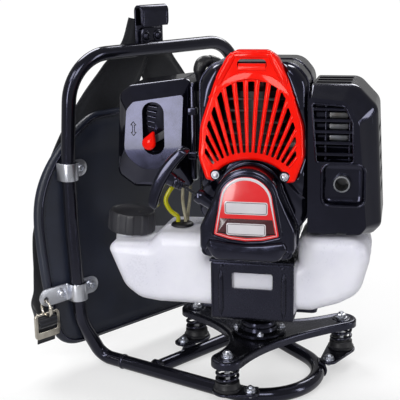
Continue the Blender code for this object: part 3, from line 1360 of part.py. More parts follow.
def build():
    clear_scene()
    origin = empty("swivel_axis", (0, SWIVEL_Y, 0))
    engine = empty("engine_axis", (0, 0, 0), (0, 0, ENGINE_YAW), origin)
    hoop = back_hoop(origin)
    base_loop(origin)
    back_pad(origin)
    pad_clamps(origin)
    spring_seats(origin)
    springs(origin)
    spring_hardware(origin)
    spring_plate(origin)
    swivel_hub(origin)
    swivel_post(engine)
    tank_cradle(engine)
    fuel_tank(engine)
    tank_cap(engine)
    fuel_hoses(engine)
    crankcase(engine)
    cylinder(engine)
    crank_parts(engine)
    fan_shroud(engine)
    clutch_side(engine)
    starter_parts(engine)
    starter_handle(engine)
    badge_plate(engine)
    cylinder_cover(engine)
    muffler_parts(engine)
    intake_parts(engine)
    choke_lever(engine)
    ignition(engine)
    top_hook(origin)
    hook_lug(hoop, origin)
    for side, word in ((-1, "left"), (1, "right")):
        shoulder_strap(side, word, origin)
        strap_fittings(side, word, origin)


build()
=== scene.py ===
"""Backpack brush cutter power unit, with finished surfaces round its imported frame.

Lengths are millimetres until a piece is made, and metres from there on. The hub frame stands on the swivel's
axis, with +Y towards the operator's back. The engine frame is the hub frame turned with the engine: +X to the
silencer, +Y to the output flange.
"""

import math

import bmesh
import bpy
import numpy as np
from bpy.props import FloatProperty, FloatVectorProperty, IntProperty, PointerProperty
from mathutils import Matrix, Vector


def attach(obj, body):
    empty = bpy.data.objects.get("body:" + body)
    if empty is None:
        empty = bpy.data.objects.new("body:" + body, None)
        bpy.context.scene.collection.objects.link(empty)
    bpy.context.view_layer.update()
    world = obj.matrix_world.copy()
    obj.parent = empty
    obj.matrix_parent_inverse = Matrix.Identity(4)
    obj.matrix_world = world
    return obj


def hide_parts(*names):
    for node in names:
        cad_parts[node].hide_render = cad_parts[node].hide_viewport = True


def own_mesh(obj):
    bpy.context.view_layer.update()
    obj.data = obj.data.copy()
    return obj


bl_info = {
    "name": "Backpack brush cutter",
    "version": (1, 0, 0),
    "blender": (4, 5, 0),
    "location": "View3D > Sidebar > Brush cutter",
    "description": "Builds a backpack brush cutter's power unit piece by piece",
    "category": "Object",
}

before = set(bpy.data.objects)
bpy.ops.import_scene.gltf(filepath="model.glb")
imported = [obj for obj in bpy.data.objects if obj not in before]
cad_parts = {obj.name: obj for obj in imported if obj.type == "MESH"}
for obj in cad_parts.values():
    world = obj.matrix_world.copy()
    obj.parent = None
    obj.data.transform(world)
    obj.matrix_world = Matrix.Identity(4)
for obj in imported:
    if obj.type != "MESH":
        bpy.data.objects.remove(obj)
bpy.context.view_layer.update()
MM = 0.001
SWIVEL_Y = -52.5
ENGINE_YAW = math.radians(-56.0)
TAU = 2 * math.pi
QUARTER = math.pi / 2
X_AXIS, Y_AXIS, Z_AXIS = (1, 0, 0), (0, 1, 0), (0, 0, 1)
FORWARD = (0, -1, 0)
SIDES = ((-1, "left"), (1, "right"))
SEAT_WORDS = ("left", "right", "rear")


# Places

def hub(points):
    """Millimetres in the hub frame to metres: a shift along Y."""
    return (np.asarray(points, float) + (0, SWIVEL_Y, 0)) * MM


def engine(points):
    """Millimetres in the engine frame to metres: a turn about Z by the yaw, then the hub's shift."""
    points = np.asarray(points, float)
    cosine, sine = math.cos(ENGINE_YAW), math.sin(ENGINE_YAW)
    x = points[..., 0] * cosine - points[..., 1] * sine
    y = points[..., 0] * sine + points[..., 1] * cosine
    return hub(np.stack([x, y, points[..., 2]], -1))


def upright(points, level):
    """A front view's (x, z) points at one depth."""
    points = np.asarray(points, float)
    return np.stack([points[..., 0], np.broadcast_to(level, points.shape[:-1]), points[..., 1]], -1)


def level_plan(points, level):
    """A plan's (x, y) points at one height."""
    points = np.asarray(points, float)
    return np.stack([points[..., 0], points[..., 1], np.broadcast_to(level, points.shape[:-1])], -1)


def aligned(points, place, axis):
    """Points turned so that their Z lies along an axis, and moved to a place."""
    matrix = np.array(Vector(Z_AXIS).rotation_difference(Vector(axis)).to_matrix())
    return points @ matrix.T + np.asarray(place, float)


def unit(vectors):
    """Vectors divided by their lengths."""
    return vectors / np.maximum(np.linalg.norm(vectors, axis=-1, keepdims=True), 1e-12)


# Outlines and paths

def winding(points):
    """1 where a closed outline runs anticlockwise and -1 where not, by the sign of its area."""
    area = np.sum(points[:, 0] * np.roll(points[:, 1], -1) - np.roll(points[:, 0], -1) * points[:, 1])
    return 1.0 if area > 0 else -1.0


def outline(corners, radii, reach=0.0, steps=6):
    """A closed outline with an arc at each corner. A reach moves it inwards, each arc about its own centre.

    Where that would turn an edge over, the edge's ends meet at its middle."""
    corners = np.asarray(corners, float)
    radii = np.broadcast_to(np.asarray(radii, float), len(corners))
    before, after = unit(corners - np.roll(corners, 1, 0)), unit(np.roll(corners, -1, 0) - corners)
    side = winding(corners)
    normal_a = side * np.stack([-before[:, 1], before[:, 0]], 1)
    normal_b = side * np.stack([-after[:, 1], after[:, 0]], 1)
    middle = unit(normal_a + normal_b)
    edges = np.roll(corners, -1, 0) - corners
    corners = corners + middle * (reach / np.maximum(0.3, np.sum(middle * normal_a, 1)))[:, None]
    turned_over = np.sum(edges * (np.roll(corners, -1, 0) - corners), 1) < 0
    for k in np.flatnonzero(turned_over):
        ends = [k, (k + 1) % len(corners)]
        corners[ends] = corners[ends].mean(0)
    convex = side * (before[:, 0] * after[:, 1] - before[:, 1] * after[:, 0]) > 0
    radii = np.where(radii > 0, np.maximum(0.2, radii + np.where(convex, -reach, reach)), 0.0)
    to_before, to_after = np.roll(corners, 1, 0) - corners, np.roll(corners, -1, 0) - corners
    span_a, span_b = np.linalg.norm(to_before, axis=1), np.linalg.norm(to_after, axis=1)
    to_before, to_after = unit(to_before), unit(to_after)
    half = 0.5 * np.arccos(np.clip(np.sum(to_before * to_after, 1), -1, 1))
    half = np.clip(half, 0.05, QUARTER - 1e-3)
    cut = np.minimum(radii / np.tan(half), 0.48 * np.minimum(span_a, span_b))
    size = cut * np.tan(half)
    centre = corners + unit(to_before + to_after) * (size / np.sin(half))[:, None]
    first, last = corners + to_before * cut[:, None] - centre, corners + to_after * cut[:, None] - centre
    arc = np.arctan2(first[:, 0] * last[:, 1] - first[:, 1] * last[:, 0], np.sum(first * last, 1))
    turn = arc[:, None] * np.linspace(0, 1, steps + 1)
    cosine, sine = np.cos(turn), np.sin(turn)
    x = centre[:, :1] + first[:, :1] * cosine - first[:, 1:] * sine
    y = centre[:, 1:] + first[:, :1] * sine + first[:, 1:] * cosine
    points = np.stack([x, y], -1)
    points[radii == 0] = corners[radii == 0][:, None]
    return points.reshape(-1, 2)


def box_corners(x0, x1, z0, z1):
    """The corners of an upright rectangle."""
    return [(x0, z0), (x1, z0), (x1, z1), (x0, z1)]


def along(path):
    """The distance from a path's start to each of its points."""
    return np.concatenate([[0], np.cumsum(np.linalg.norm(np.diff(path, axis=0), axis=1))])


def even(points, count):
    """A closed line resampled at equal steps of its length."""
    points = np.asarray(points, float)
    points = np.vstack([points, points[:1]])
    far = along(points)
    wanted = np.linspace(0, far[-1], count + 1)
    return np.stack([np.interp(wanted, far, points[:, k]) for k in range(points.shape[1])], 1)[:-1]


def route(corners, radii, steps=14):
    """An open path with an arc at each inner corner, turned about the normal of the corner's own plane."""
    corners = [np.asarray(c, float) for c in corners]
    points = [corners[0][None]]
    for before, here, after, radius in zip(corners, corners[1:], corners[2:], radii[1:]):
        a, b = before - here, after - here
        half = 0.5 * math.acos(np.clip(unit(a) @ unit(b), -1, 1))
        cut = min(radius / math.tan(half), 0.45 * np.linalg.norm(a), 0.45 * np.linalg.norm(b))
        size = cut * math.tan(half)
        centre = here + unit(unit(a) + unit(b)) * size / math.sin(half)
        first, last = here + unit(a) * cut - centre, here + unit(b) * cut - centre
        total = math.pi - 2 * half
        share = np.linspace(0, 1, max(3, round(steps * total / QUARTER)) + 1)[:, None]
        arc = first * np.sin((1 - share) * total) + last * np.sin(share * total)
        points.append(centre + arc / math.sin(total))
    return np.vstack(points + [corners[-1][None]])


def spline(knots, count):
    """A smooth curve through knots: a cubic Hermite whose tangents are half the chord between neighbours."""
    knots = np.asarray(knots, float)
    tangents = np.gradient(knots, axis=0)
    t = np.linspace(0, len(knots) - 1, count)
    i = np.minimum(t.astype(int), len(knots) - 2)
    f = (t - i)[:, None]
    a, b, ta, tb = knots[i], knots[i + 1], tangents[i], tangents[i + 1]
    return (2 * f ** 3 - 3 * f ** 2 + 1) * a + (f ** 3 - 2 * f ** 2 + f) * ta \
        + (3 * f ** 2 - 2 * f ** 3) * b + (f ** 3 - f ** 2) * tb


def arc_points(centre, radii, start, end, count):
    """Points of an ellipse's arc between two angles."""
    turn = np.linspace(start, end, count)
    radii = np.broadcast_to(radii, 2)
    return np.stack([centre[0] + radii[0] * np.cos(turn), centre[1] + radii[1] * np.sin(turn)], 1)


def circle(radius, count=24):
    """A round section."""
    return arc_points((0, 0), radius, 0, TAU, count + 1)[:-1]


def rounded_box(width, height, radius, steps=4):
    """A rectangular section with round corners, about its own middle."""
    return outline(box_corners(-width / 2, width / 2, -height / 2, height / 2), radius, 0.0, steps)


def square_circle(count, power):
    """A section between a circle and a square: the cosine and the sine, each raised to a power."""
    turn = TAU * np.arange(count) / count
    return [np.sign(wave) * np.abs(wave) ** power for wave in (np.cos(turn), np.sin(turn))]


def offset(points, reach):
    """A dense closed outline moved inwards along the normals of its own chords."""
    points = np.asarray(points, float)
    chord = unit(np.roll(points, -1, 0) - np.roll(points, 1, 0))
    return points + np.stack([-chord[:, 1], chord[:, 0]], 1) * winding(points) * reach


def softened(points, width, count):
    """A closed outline resampled evenly and averaged over a width, so that each corner becomes a curve."""
    points = even(points, count)
    step = np.linalg.norm(np.diff(points, axis=0), axis=1).mean()
    blur = np.exp(-0.5 * (np.fft.fftfreq(count) * TAU * width / step) ** 2)[:, None]
    return np.fft.ifft(np.fft.fft(points, axis=0) * blur, axis=0).real


def capsule(a, b, radius_a, radius_b, steps=20):
    """A bar with round ends of two radii: two arcs between the outer tangents."""
    a, b = np.asarray(a, float), np.asarray(b, float)
    heading = math.atan2(*(b - a)[::-1])
    tilt = math.acos((radius_a - radius_b) / np.linalg.norm(b - a))
    return np.vstack([arc_points(a, radius_a, heading + tilt, heading + TAU - tilt, steps + 1),
                      arc_points(b, radius_b, heading - tilt, heading + tilt, steps + 1)])


def helix(place, radius, low, high, turns, per_turn=28):
    """Points of a helix whose first and last half turns are closed flat."""
    t = np.linspace(0, turns, round(turns * per_turn) + 1)
    ease = np.clip((t - 0.4) / (turns - 0.8), 0, 1)
    return np.stack([place[0] + radius * np.cos(TAU * t), place[1] + radius * np.sin(TAU * t),
                     low + (high - low) * ease], 1)


def eased_ends(count, share, points):
    """Factors along a path that fall by a share at both its ends, over a number of points."""
    index = np.arange(count)
    return 1 - share * np.exp(-np.minimum(index, index[::-1]) / points)


# Surfaces: each is a pair of (points, faces)

def surface(points, ring=False, caps=""):
    """Quads over a grid of points (rows, columns) that is closed round its columns. Ring closes the rows too.

    Caps fill the first and last row: "flat" with one face each, "fan" with triangles to their middles."""
    points = np.asarray(points, float)
    if caps == "fan":
        ends = [np.broadcast_to(points[k].mean(0), points[k].shape)[None] for k in (0, -1)]
        points = np.concatenate([ends[0], points, ends[1]])
    rows, columns = points.shape[:2]
    index = np.arange(rows * columns).reshape(rows, columns)
    index = np.hstack([index, index[:, :1]])
    if ring:
        index = np.vstack([index, index[:1]])
    quads = np.stack([index[:-1, :-1], index[:-1, 1:], index[1:, 1:], index[1:, :-1]], -1)
    faces = quads.reshape(-1, 4).tolist()
    if caps == "flat":
        faces += [index[0, :columns][::-1].tolist(), index[-1, :columns].tolist()]
    return points.reshape(-1, 3), faces


def lid(ring):
    """One flat face over a ring of points."""
    return ring, [list(range(len(ring)))]


def sweep(path, section, up=Z_AXIS, scale=None, caps="fan", ring=False):
    """A closed section carried along a path: x along tangent x up, and y along the corrected up."""
    path, section = np.asarray(path, float), np.asarray(section, float)
    ahead = np.roll(path, -1, 0) - np.roll(path, 1, 0) if ring else np.gradient(path, axis=0)
    tangent = unit(ahead)
    across = unit(np.cross(tangent, np.broadcast_to(np.asarray(up, float), path.shape)))
    rise = np.cross(across, tangent)
    scale = np.ones((len(path), 2)) if scale is None else np.asarray(scale, float)
    u = section[None, :, 0] * scale[:, :1]
    v = section[None, :, 1] * scale[:, 1:]
    points = path[:, None] + across[:, None] * u[..., None] + rise[:, None] * v[..., None]
    return surface(points, ring, "" if ring else caps)


def bar(start, end, section, up=Z_AXIS, count=12, scale=None, caps="fan"):
    """A straight bar of one section."""
    return sweep(np.linspace(start, end, count), section, up, scale, caps)


def bead(line, level, radius, sides=12):
    """A round bead along a closed front outline at a depth."""
    return sweep(upright(line, level), circle(radius, sides), Y_AXIS, ring=True)


def turned(profile, place=(0, 0, 0), axis=Z_AXIS, count=64, closed=False, ripple=None):
    """A profile of (radius, height) turned round an axis. A ripple scales the radius by angle and row."""
    profile = np.asarray(profile, float)
    turn = TAU * np.arange(count) / count
    radius = profile[:, :1] * np.ones((1, count))
    if ripple:
        radius = radius * ripple(turn[None], np.arange(len(profile))[:, None])
    height = np.broadcast_to(profile[:, 1:], radius.shape)
    local = np.stack([radius * np.cos(turn), radius * np.sin(turn), height], -1)
    return surface(aligned(local, place, axis), closed, "" if closed else "flat")


def edge_rows(edge, steps=3):
    """Pairs of (reach, depth) of a quarter round of one radius, from the wall to the face."""
    return [(edge * (1 - math.cos(t)), edge * (1 - math.sin(t))) for t in np.linspace(0, QUARTER, steps + 1)]


def plate_rows(low, high, edge, steps=3):
    """Pairs of (reach, level) of a plate's wall, with a quarter round at both its faces."""
    rows = edge_rows(edge, steps)
    return [(r, low + d) for r, d in rows[::-1]] + [(r, high - d) for r, d in rows]


def slab(corners, radii, low, high, edge=0.6, place=upright, steps=6):
    """A plate between two levels, with an arc at each corner and quarter-round edges."""
    rows = [place(outline(corners, radii, r, steps), level) for r, level in plate_rows(low, high, edge)]
    return surface(rows, caps="flat")


def box(x0, x1, z0, z1, radius, low, high, edge=0.6, place=upright):
    """A rectangular plate between two levels."""
    return slab(box_corners(x0, x1, z0, z1), radius, low, high, edge, place)


def plate(points, low, high, edge=0.6, place=upright):
    """A plate inside a dense outline, with quarter-round edges."""
    return surface([place(offset(points, r), level) for r, level in plate_rows(low, high, edge)], caps="flat")


def shell(outer, inner):
    """A cover from its outer and inner rings, each from the open rim to the face."""
    return [surface(outer), surface(inner), surface([outer[0], inner[0]]), lid(outer[-1]), lid(inner[-1])]


def tray(corners, radii, levels, edge, wall, steps=6, lean=(0.0, 0.0)):
    """A cover: walls from an open level to a closed one, a quarter round and a face, with an inner skin.

    The face leans by a share of the height over a level."""
    start, end = levels
    inwards = 1 if start > end else -1
    outer = [(0.0, start), (0.0, (start + end) / 2)] + [(r, end + inwards * d) for r, d in edge_rows(edge, 5)]
    corner = edge + 0.4 * wall
    inner = [(wall, start), (wall, end + inwards * corner), (corner, end + inwards * wall)]

    def ring(reach, level):
        flat = outline(corners, radii, reach, steps)
        share = min(1.0, (start - level) / (start - end)) * lean[0]
        return upright(flat, level + share * (flat[:, 1] - lean[1]))
    return shell([ring(*row) for row in outer], [ring(*row) for row in inner])


def loft(rows, wall, steps=8):
    """A cover through outlines of one corner count: rows of (corners, radii, level), and an inner skin."""
    outer = [upright(outline(c, r, 0, steps), y) for c, r, y in rows]
    inner = [upright(outline(c, r, wall, steps), y + (wall if k else 0)) for k, (c, r, y) in enumerate(rows)]
    return shell(outer, inner)


def screw_head(place, axis, radius, height, washer=0.0):
    """A pan head with a cross recess on an optional washer: the recess is two crossed dents in the crown."""
    base = 0.9 if washer else 0.0
    parts = []
    if washer:
        rim = [(0, -0.2), (washer, -0.2), (washer, base - 0.2), (washer - 0.2, base), (0, base)]
        parts.append(turned(rim, place, axis, 40))
    sides, rings = 48, 14
    turn = TAU * np.arange(sides) / sides
    r, t = np.meshgrid(radius * np.linspace(1, 0, rings), turn, indexing="ij")
    x, y = r * np.cos(t), r * np.sin(t)
    recess = (np.minimum(np.abs(x), np.abs(y)) < 0.16 * radius) & (r < 0.62 * radius)
    z = base + height * (1 - (r / radius) ** 4) ** 0.5 - np.where(recess, 0.5 * height, 0.0)
    crown = np.stack([x, y, z], -1)
    foot = crown[:1] * (1, 1, 0) + (0, 0, base - 0.3)
    rows = aligned(np.concatenate([foot, crown]), place, unit(np.asarray(axis, float)))
    return parts + [surface(rows), lid(rows[0])]


def nut(place, axis=Z_AXIS, across=9.0, height=4.5, bore=2.6):
    """A hexagon nut with chamfered corners, and the bolt's end in it."""
    rows = [(0.86, 0), (1, 0.5), (1, height - 0.5), (0.86, height), (0.5, height)]
    hexagon = circle(across / math.sqrt(3), 6)
    rings = np.array([level_plan(hexagon * share, z) for share, z in rows])
    end = [(0, height - 1), (bore, height - 1), (bore, height + 1.2), (bore - 0.8, height + 2),
           (0, height + 2)]
    return [surface(aligned(rings, place, axis), caps="flat"), turned(end, place, axis, 20)]


def disc(radius, rim, middle, place, axis=Z_AXIS, count=32):
    """A round plate of one height at its rim and another in its middle."""
    return turned([(0, 0), (radius, 0), (radius, rim), (0, middle)], place, axis, count)


# Pieces

def mesh_object(name, parts, place=engine):
    """An object at the origin from surfaces: seams merged and faces outwards."""
    flat = []
    for part in parts:
        flat += part if isinstance(part, list) else [part]
    starts = np.cumsum([0] + [len(points) for points, _ in flat[:-1]])
    faces = [[int(i) + int(start) for i in face] for (_, many), start in zip(flat, starts) for face in many]
    mesh = bpy.data.meshes.new(name)
    mesh.from_pydata(place(np.vstack([points for points, _ in flat])), [], faces)
    shape = bmesh.new()
    shape.from_mesh(mesh)
    bmesh.ops.remove_doubles(shape, verts=shape.verts, dist=2e-6)
    bmesh.ops.dissolve_degenerate(shape, edges=shape.edges, dist=1e-7)
    bmesh.ops.recalc_face_normals(shape, faces=shape.faces)
    shape.to_mesh(mesh)
    shape.free()
    made = bpy.data.objects.new(name, mesh)
    bpy.context.scene.collection.objects.link(made)
    return made


def carve(made, tools, place=engine):
    """Cuts tools, each one closed surface, out of a piece, and keeps only the result's mesh."""
    cutters = [mesh_object(f"{made.name}_tool_{k}", [tool], place) for k, tool in enumerate(tools)]
    for cutter in cutters:
        cut = made.modifiers.new("cut", "BOOLEAN")
        cut.object, cut.operation, cut.solver = cutter, "DIFFERENCE", "EXACT"
    bpy.context.view_layer.update()
    result = bpy.data.meshes.new_from_object(made.evaluated_get(bpy.context.evaluated_depsgraph_get()))
    made.modifiers.clear()
    made.data = result
    for cutter in cutters:
        bpy.data.objects.remove(cutter)


def round_edges(made, width, angle, segments=2):
    """A bevel over the edges that are sharper than an angle."""
    rounding = made.modifiers.new("edges", "BEVEL")
    rounding.width, rounding.segments = width * MM, segments
    rounding.limit_method, rounding.angle_limit = "ANGLE", math.radians(angle)
    return rounding


def finish_piece(made, finish, body, nodes=(), slot=None, sharp=38, bevel=0.0, segments=2):
    """Gives a piece its material, edges and shading, and hangs it on its body in place of its CAD nodes."""
    made.data.materials.clear()
    made.data.materials.append(material(finish))
    made.data.shade_smooth()
    made.data.set_sharp_from_angle(angle=math.radians(sharp))
    if bevel:
        round_edges(made, bevel, sharp, segments).miter_outer = "MITER_ARC"
        made.modifiers.new("normals", "WEIGHTED_NORMAL").keep_sharp = False
    if nodes:
        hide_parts(*nodes)
    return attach(made, body)


def piece(name, parts, finish, body, nodes=(), place=engine, tools=(), **look):
    """A finished piece from its surfaces and cutting tools."""
    made = mesh_object(name, parts, place)
    if tools:
        carve(made, tools, place)
    return finish_piece(made, finish, body, nodes, **look)


def cloth_map(made, points):
    """The map that a weave follows: metres across and along the cloth, per vertex."""
    layer = made.data.uv_layers.new(name="cloth")
    index = np.zeros(len(made.data.loops), np.int32)
    made.data.loops.foreach_get("vertex_index", index)
    layer.data.foreach_set("uv", (np.asarray(points) * MM)[index].astype(np.float32).ravel())


# Finishes

def linear(code):
    """An sRGB hex colour as linear RGBA."""
    values = [int(code[k:k + 2], 16) / 255 for k in (1, 3, 5)]
    return tuple(v / 12.92 if v <= 0.04045 else ((v + 0.055) / 1.055) ** 2.4 for v in values) + (1.0,)


def add_node(tree, kind, inputs, output=0, **settings):
    """One node with its settings. Inputs maps a socket to a value, or to the output that it is linked to."""
    made = tree.nodes.new("ShaderNode" + kind)
    for key, value in settings.items():
        setattr(made, key, value)
    for key, value in inputs.items():
        if isinstance(value, bpy.types.NodeSocket):
            tree.links.new(value, made.inputs[key])
        else:
            made.inputs[key].default_value = value
    return made.outputs[output]


def start_finish(name, sockets):
    """A new material with its shader's own sockets set."""
    made = bpy.data.materials.new(name)
    made.use_nodes = True
    shader = made.node_tree.nodes["Principled BSDF"]
    for key, value in sockets.items():
        shader.inputs[key].default_value = value
    return made, made.node_tree, shader


def link_finish(tree, shader, mask, tones, rough, height, strength, depth_mm):
    """Links a mask between two tones to the colour, a roughness, and a height of a depth to the normal."""
    colour = add_node(tree, "Mix", {0: mask, 6: tones[0], 7: tones[1]}, 2, data_type="RGBA")
    bump = add_node(tree, "Bump", {"Height": height, "Strength": strength, "Distance": depth_mm * MM})
    for key, value in (("Base Color", colour), ("Roughness", rough), ("Normal", bump)):
        if value:
            tree.links.new(value, shader.inputs[key])


# The middle of a noise's values, stretched to run from 0 to 1
PATCHES = {"From Min": 0.35, "From Max": 0.65}


def plain_finish(key, name, first, second, rough, patch_mm, bump, sockets, stretch=(1, 1, 1)):
    """A finish whose colour and gloss drift over patches, with a fine bump of a size, strength and depth."""
    made, tree, shader = start_finish(name, sockets)
    grain_mm, strength, depth_mm = bump
    place = add_node(tree, "TexCoord", {}, "Object")
    patches = add_node(tree, "TexNoise", {"Vector": place, "Scale": 1 / (patch_mm * MM), "Detail": 4.0})
    drawn = add_node(tree, "Mapping", {"Vector": place, "Scale": stretch})
    fine = add_node(tree, "TexNoise", {"Vector": drawn, "Scale": 1 / (grain_mm * MM), "Detail": 2.0})
    mixed = add_node(tree, "Math", {0: patches, 1: fine}, operation="MULTIPLY")
    gloss = add_node(tree, "MapRange", {"Value": mixed, "From Min": 0.12, "From Max": 0.40,
                                        "To Min": rough[0], "To Max": rough[1]})
    mask = add_node(tree, "MapRange", {"Value": patches, **PATCHES})
    tones = own_tones(key) or (linear(first), linear(second))
    link_finish(tree, shader, mask, tones, gloss, fine, strength, depth_mm)
    return made


def own_tones(key):
    """The two tones that the panel holds for a finish, if it holds any."""
    colours = bpy.context.scene.brushcutter_colours
    held = [getattr(colours, f"{key}_{word}", None) for word in ("tone", "patches")]
    return [(*tone, 1.0) for tone in held] if all(held) else None


def foam():
    """Open-cell polyester foam: dark grey with round cells of 2 mm."""
    made, tree, shader = start_finish("open_cell_foam", {"Roughness": 0.95, "Base Color": linear("#2e2e30")})
    place = add_node(tree, "TexCoord", {}, "Object")
    cells = add_node(tree, "TexVoronoi", {"Vector": place, "Scale": 1 / (2.0 * MM)}, "Distance")
    bump = add_node(tree, "Bump", {"Height": cells, "Strength": 0.9, "Distance": 0.8 * MM})
    tree.links.new(bump, shader.inputs["Normal"])
    return made


def vinyl():
    """Calendered vinyl skin over foam: satin blue-black with leather grain cells of about 1.6 mm."""
    made, tree, shader = start_finish("grained_vinyl",
                                      {"IOR": 1.5, "Coat Weight": 0.15, "Coat Roughness": 0.3})
    place = add_node(tree, "TexCoord", {}, "Object")
    cells = add_node(tree, "TexVoronoi", {"Vector": place, "Scale": 1 / (1.6 * MM)}, "Distance",
                     feature="DISTANCE_TO_EDGE")
    creases = add_node(tree, "MapRange", {"Value": cells, "From Max": 0.12})
    patches = add_node(tree, "TexNoise", {"Vector": place, "Scale": 1 / (50 * MM), "Detail": 3.0})
    mask = add_node(tree, "MapRange", {"Value": patches, **PATCHES})
    gloss = add_node(tree, "MapRange", {"Value": creases, "To Min": 0.46, "To Max": 0.34})
    link_finish(tree, shader, mask, (linear("#181c29"), linear("#202536")), gloss, creases, 0.35, 0.12)
    return made


def woven(name, first, second, thread_mm, depth_mm):
    """A basket weave on the piece's own map: the sine across times the sine along, at a thread's width."""
    made, tree, shader = start_finish(name, {"Roughness": 0.85, "Sheen Weight": 0.35, "Sheen Roughness": 0.4,
                                             "IOR": 1.5})
    cloth = add_node(tree, "UVMap", {}, uv_map="cloth")
    waves = []
    for axis in (0, 1):
        way = add_node(tree, "SeparateXYZ", {0: cloth}, axis)
        turn = add_node(tree, "Math", {0: way, 1: math.pi / (thread_mm * MM)}, operation="MULTIPLY")
        waves.append(add_node(tree, "Math", {0: turn}, operation="SINE"))
    weave = add_node(tree, "Math", {0: waves[0], 1: waves[1]}, operation="MULTIPLY")
    height = add_node(tree, "MapRange", {"Value": weave, "From Min": -1})
    place = add_node(tree, "TexCoord", {}, "Object")
    fuzz = add_node(tree, "TexNoise", {"Vector": place, "Scale": 1 / (3.0 * MM), "Detail": 4.0})
    # Painted shade and highlight: the colour follows the weave's height, dark in the dips between threads and
    # grey on their crowns.
    tone = add_node(tree, "Math", {0: height, 1: fuzz}, operation="MULTIPLY")
    mask = add_node(tree, "MapRange", {"Value": tone, "From Min": 0.1, "From Max": 0.5})
    link_finish(tree, shader, mask, (linear(first), linear(second)), None, height, 0.8, depth_mm)
    return made


def webbing():
    """Polyester webbing: a coarse black basket weave, with painted shade between threads and a painted grey
    highlight on their crowns.
    """
    return woven("black_polyester_webbing", "#0c0d13", "#1d1f2a", 1.8, 0.5)


def strap_cloth():
    """Oxford cloth, woven of fine polyester: matt black with a faint sheen, and painted shade between its
    threads.
    """
    return woven("black_oxford_cloth", "#0b0c12", "#1a1c26", 1.0, 0.3)


BLUE_GLOSS = linear("#c9cbff")
METAL = {"Metallic": 1.0}
TUBING = {"IOR": 1.46, "Transmission Weight": 0.45, "Coat Weight": 0.4, "Coat Roughness": 0.04}
PRINT = {"IOR": 1.58, "Coat Weight": 0.5, "Coat Roughness": 0.05}

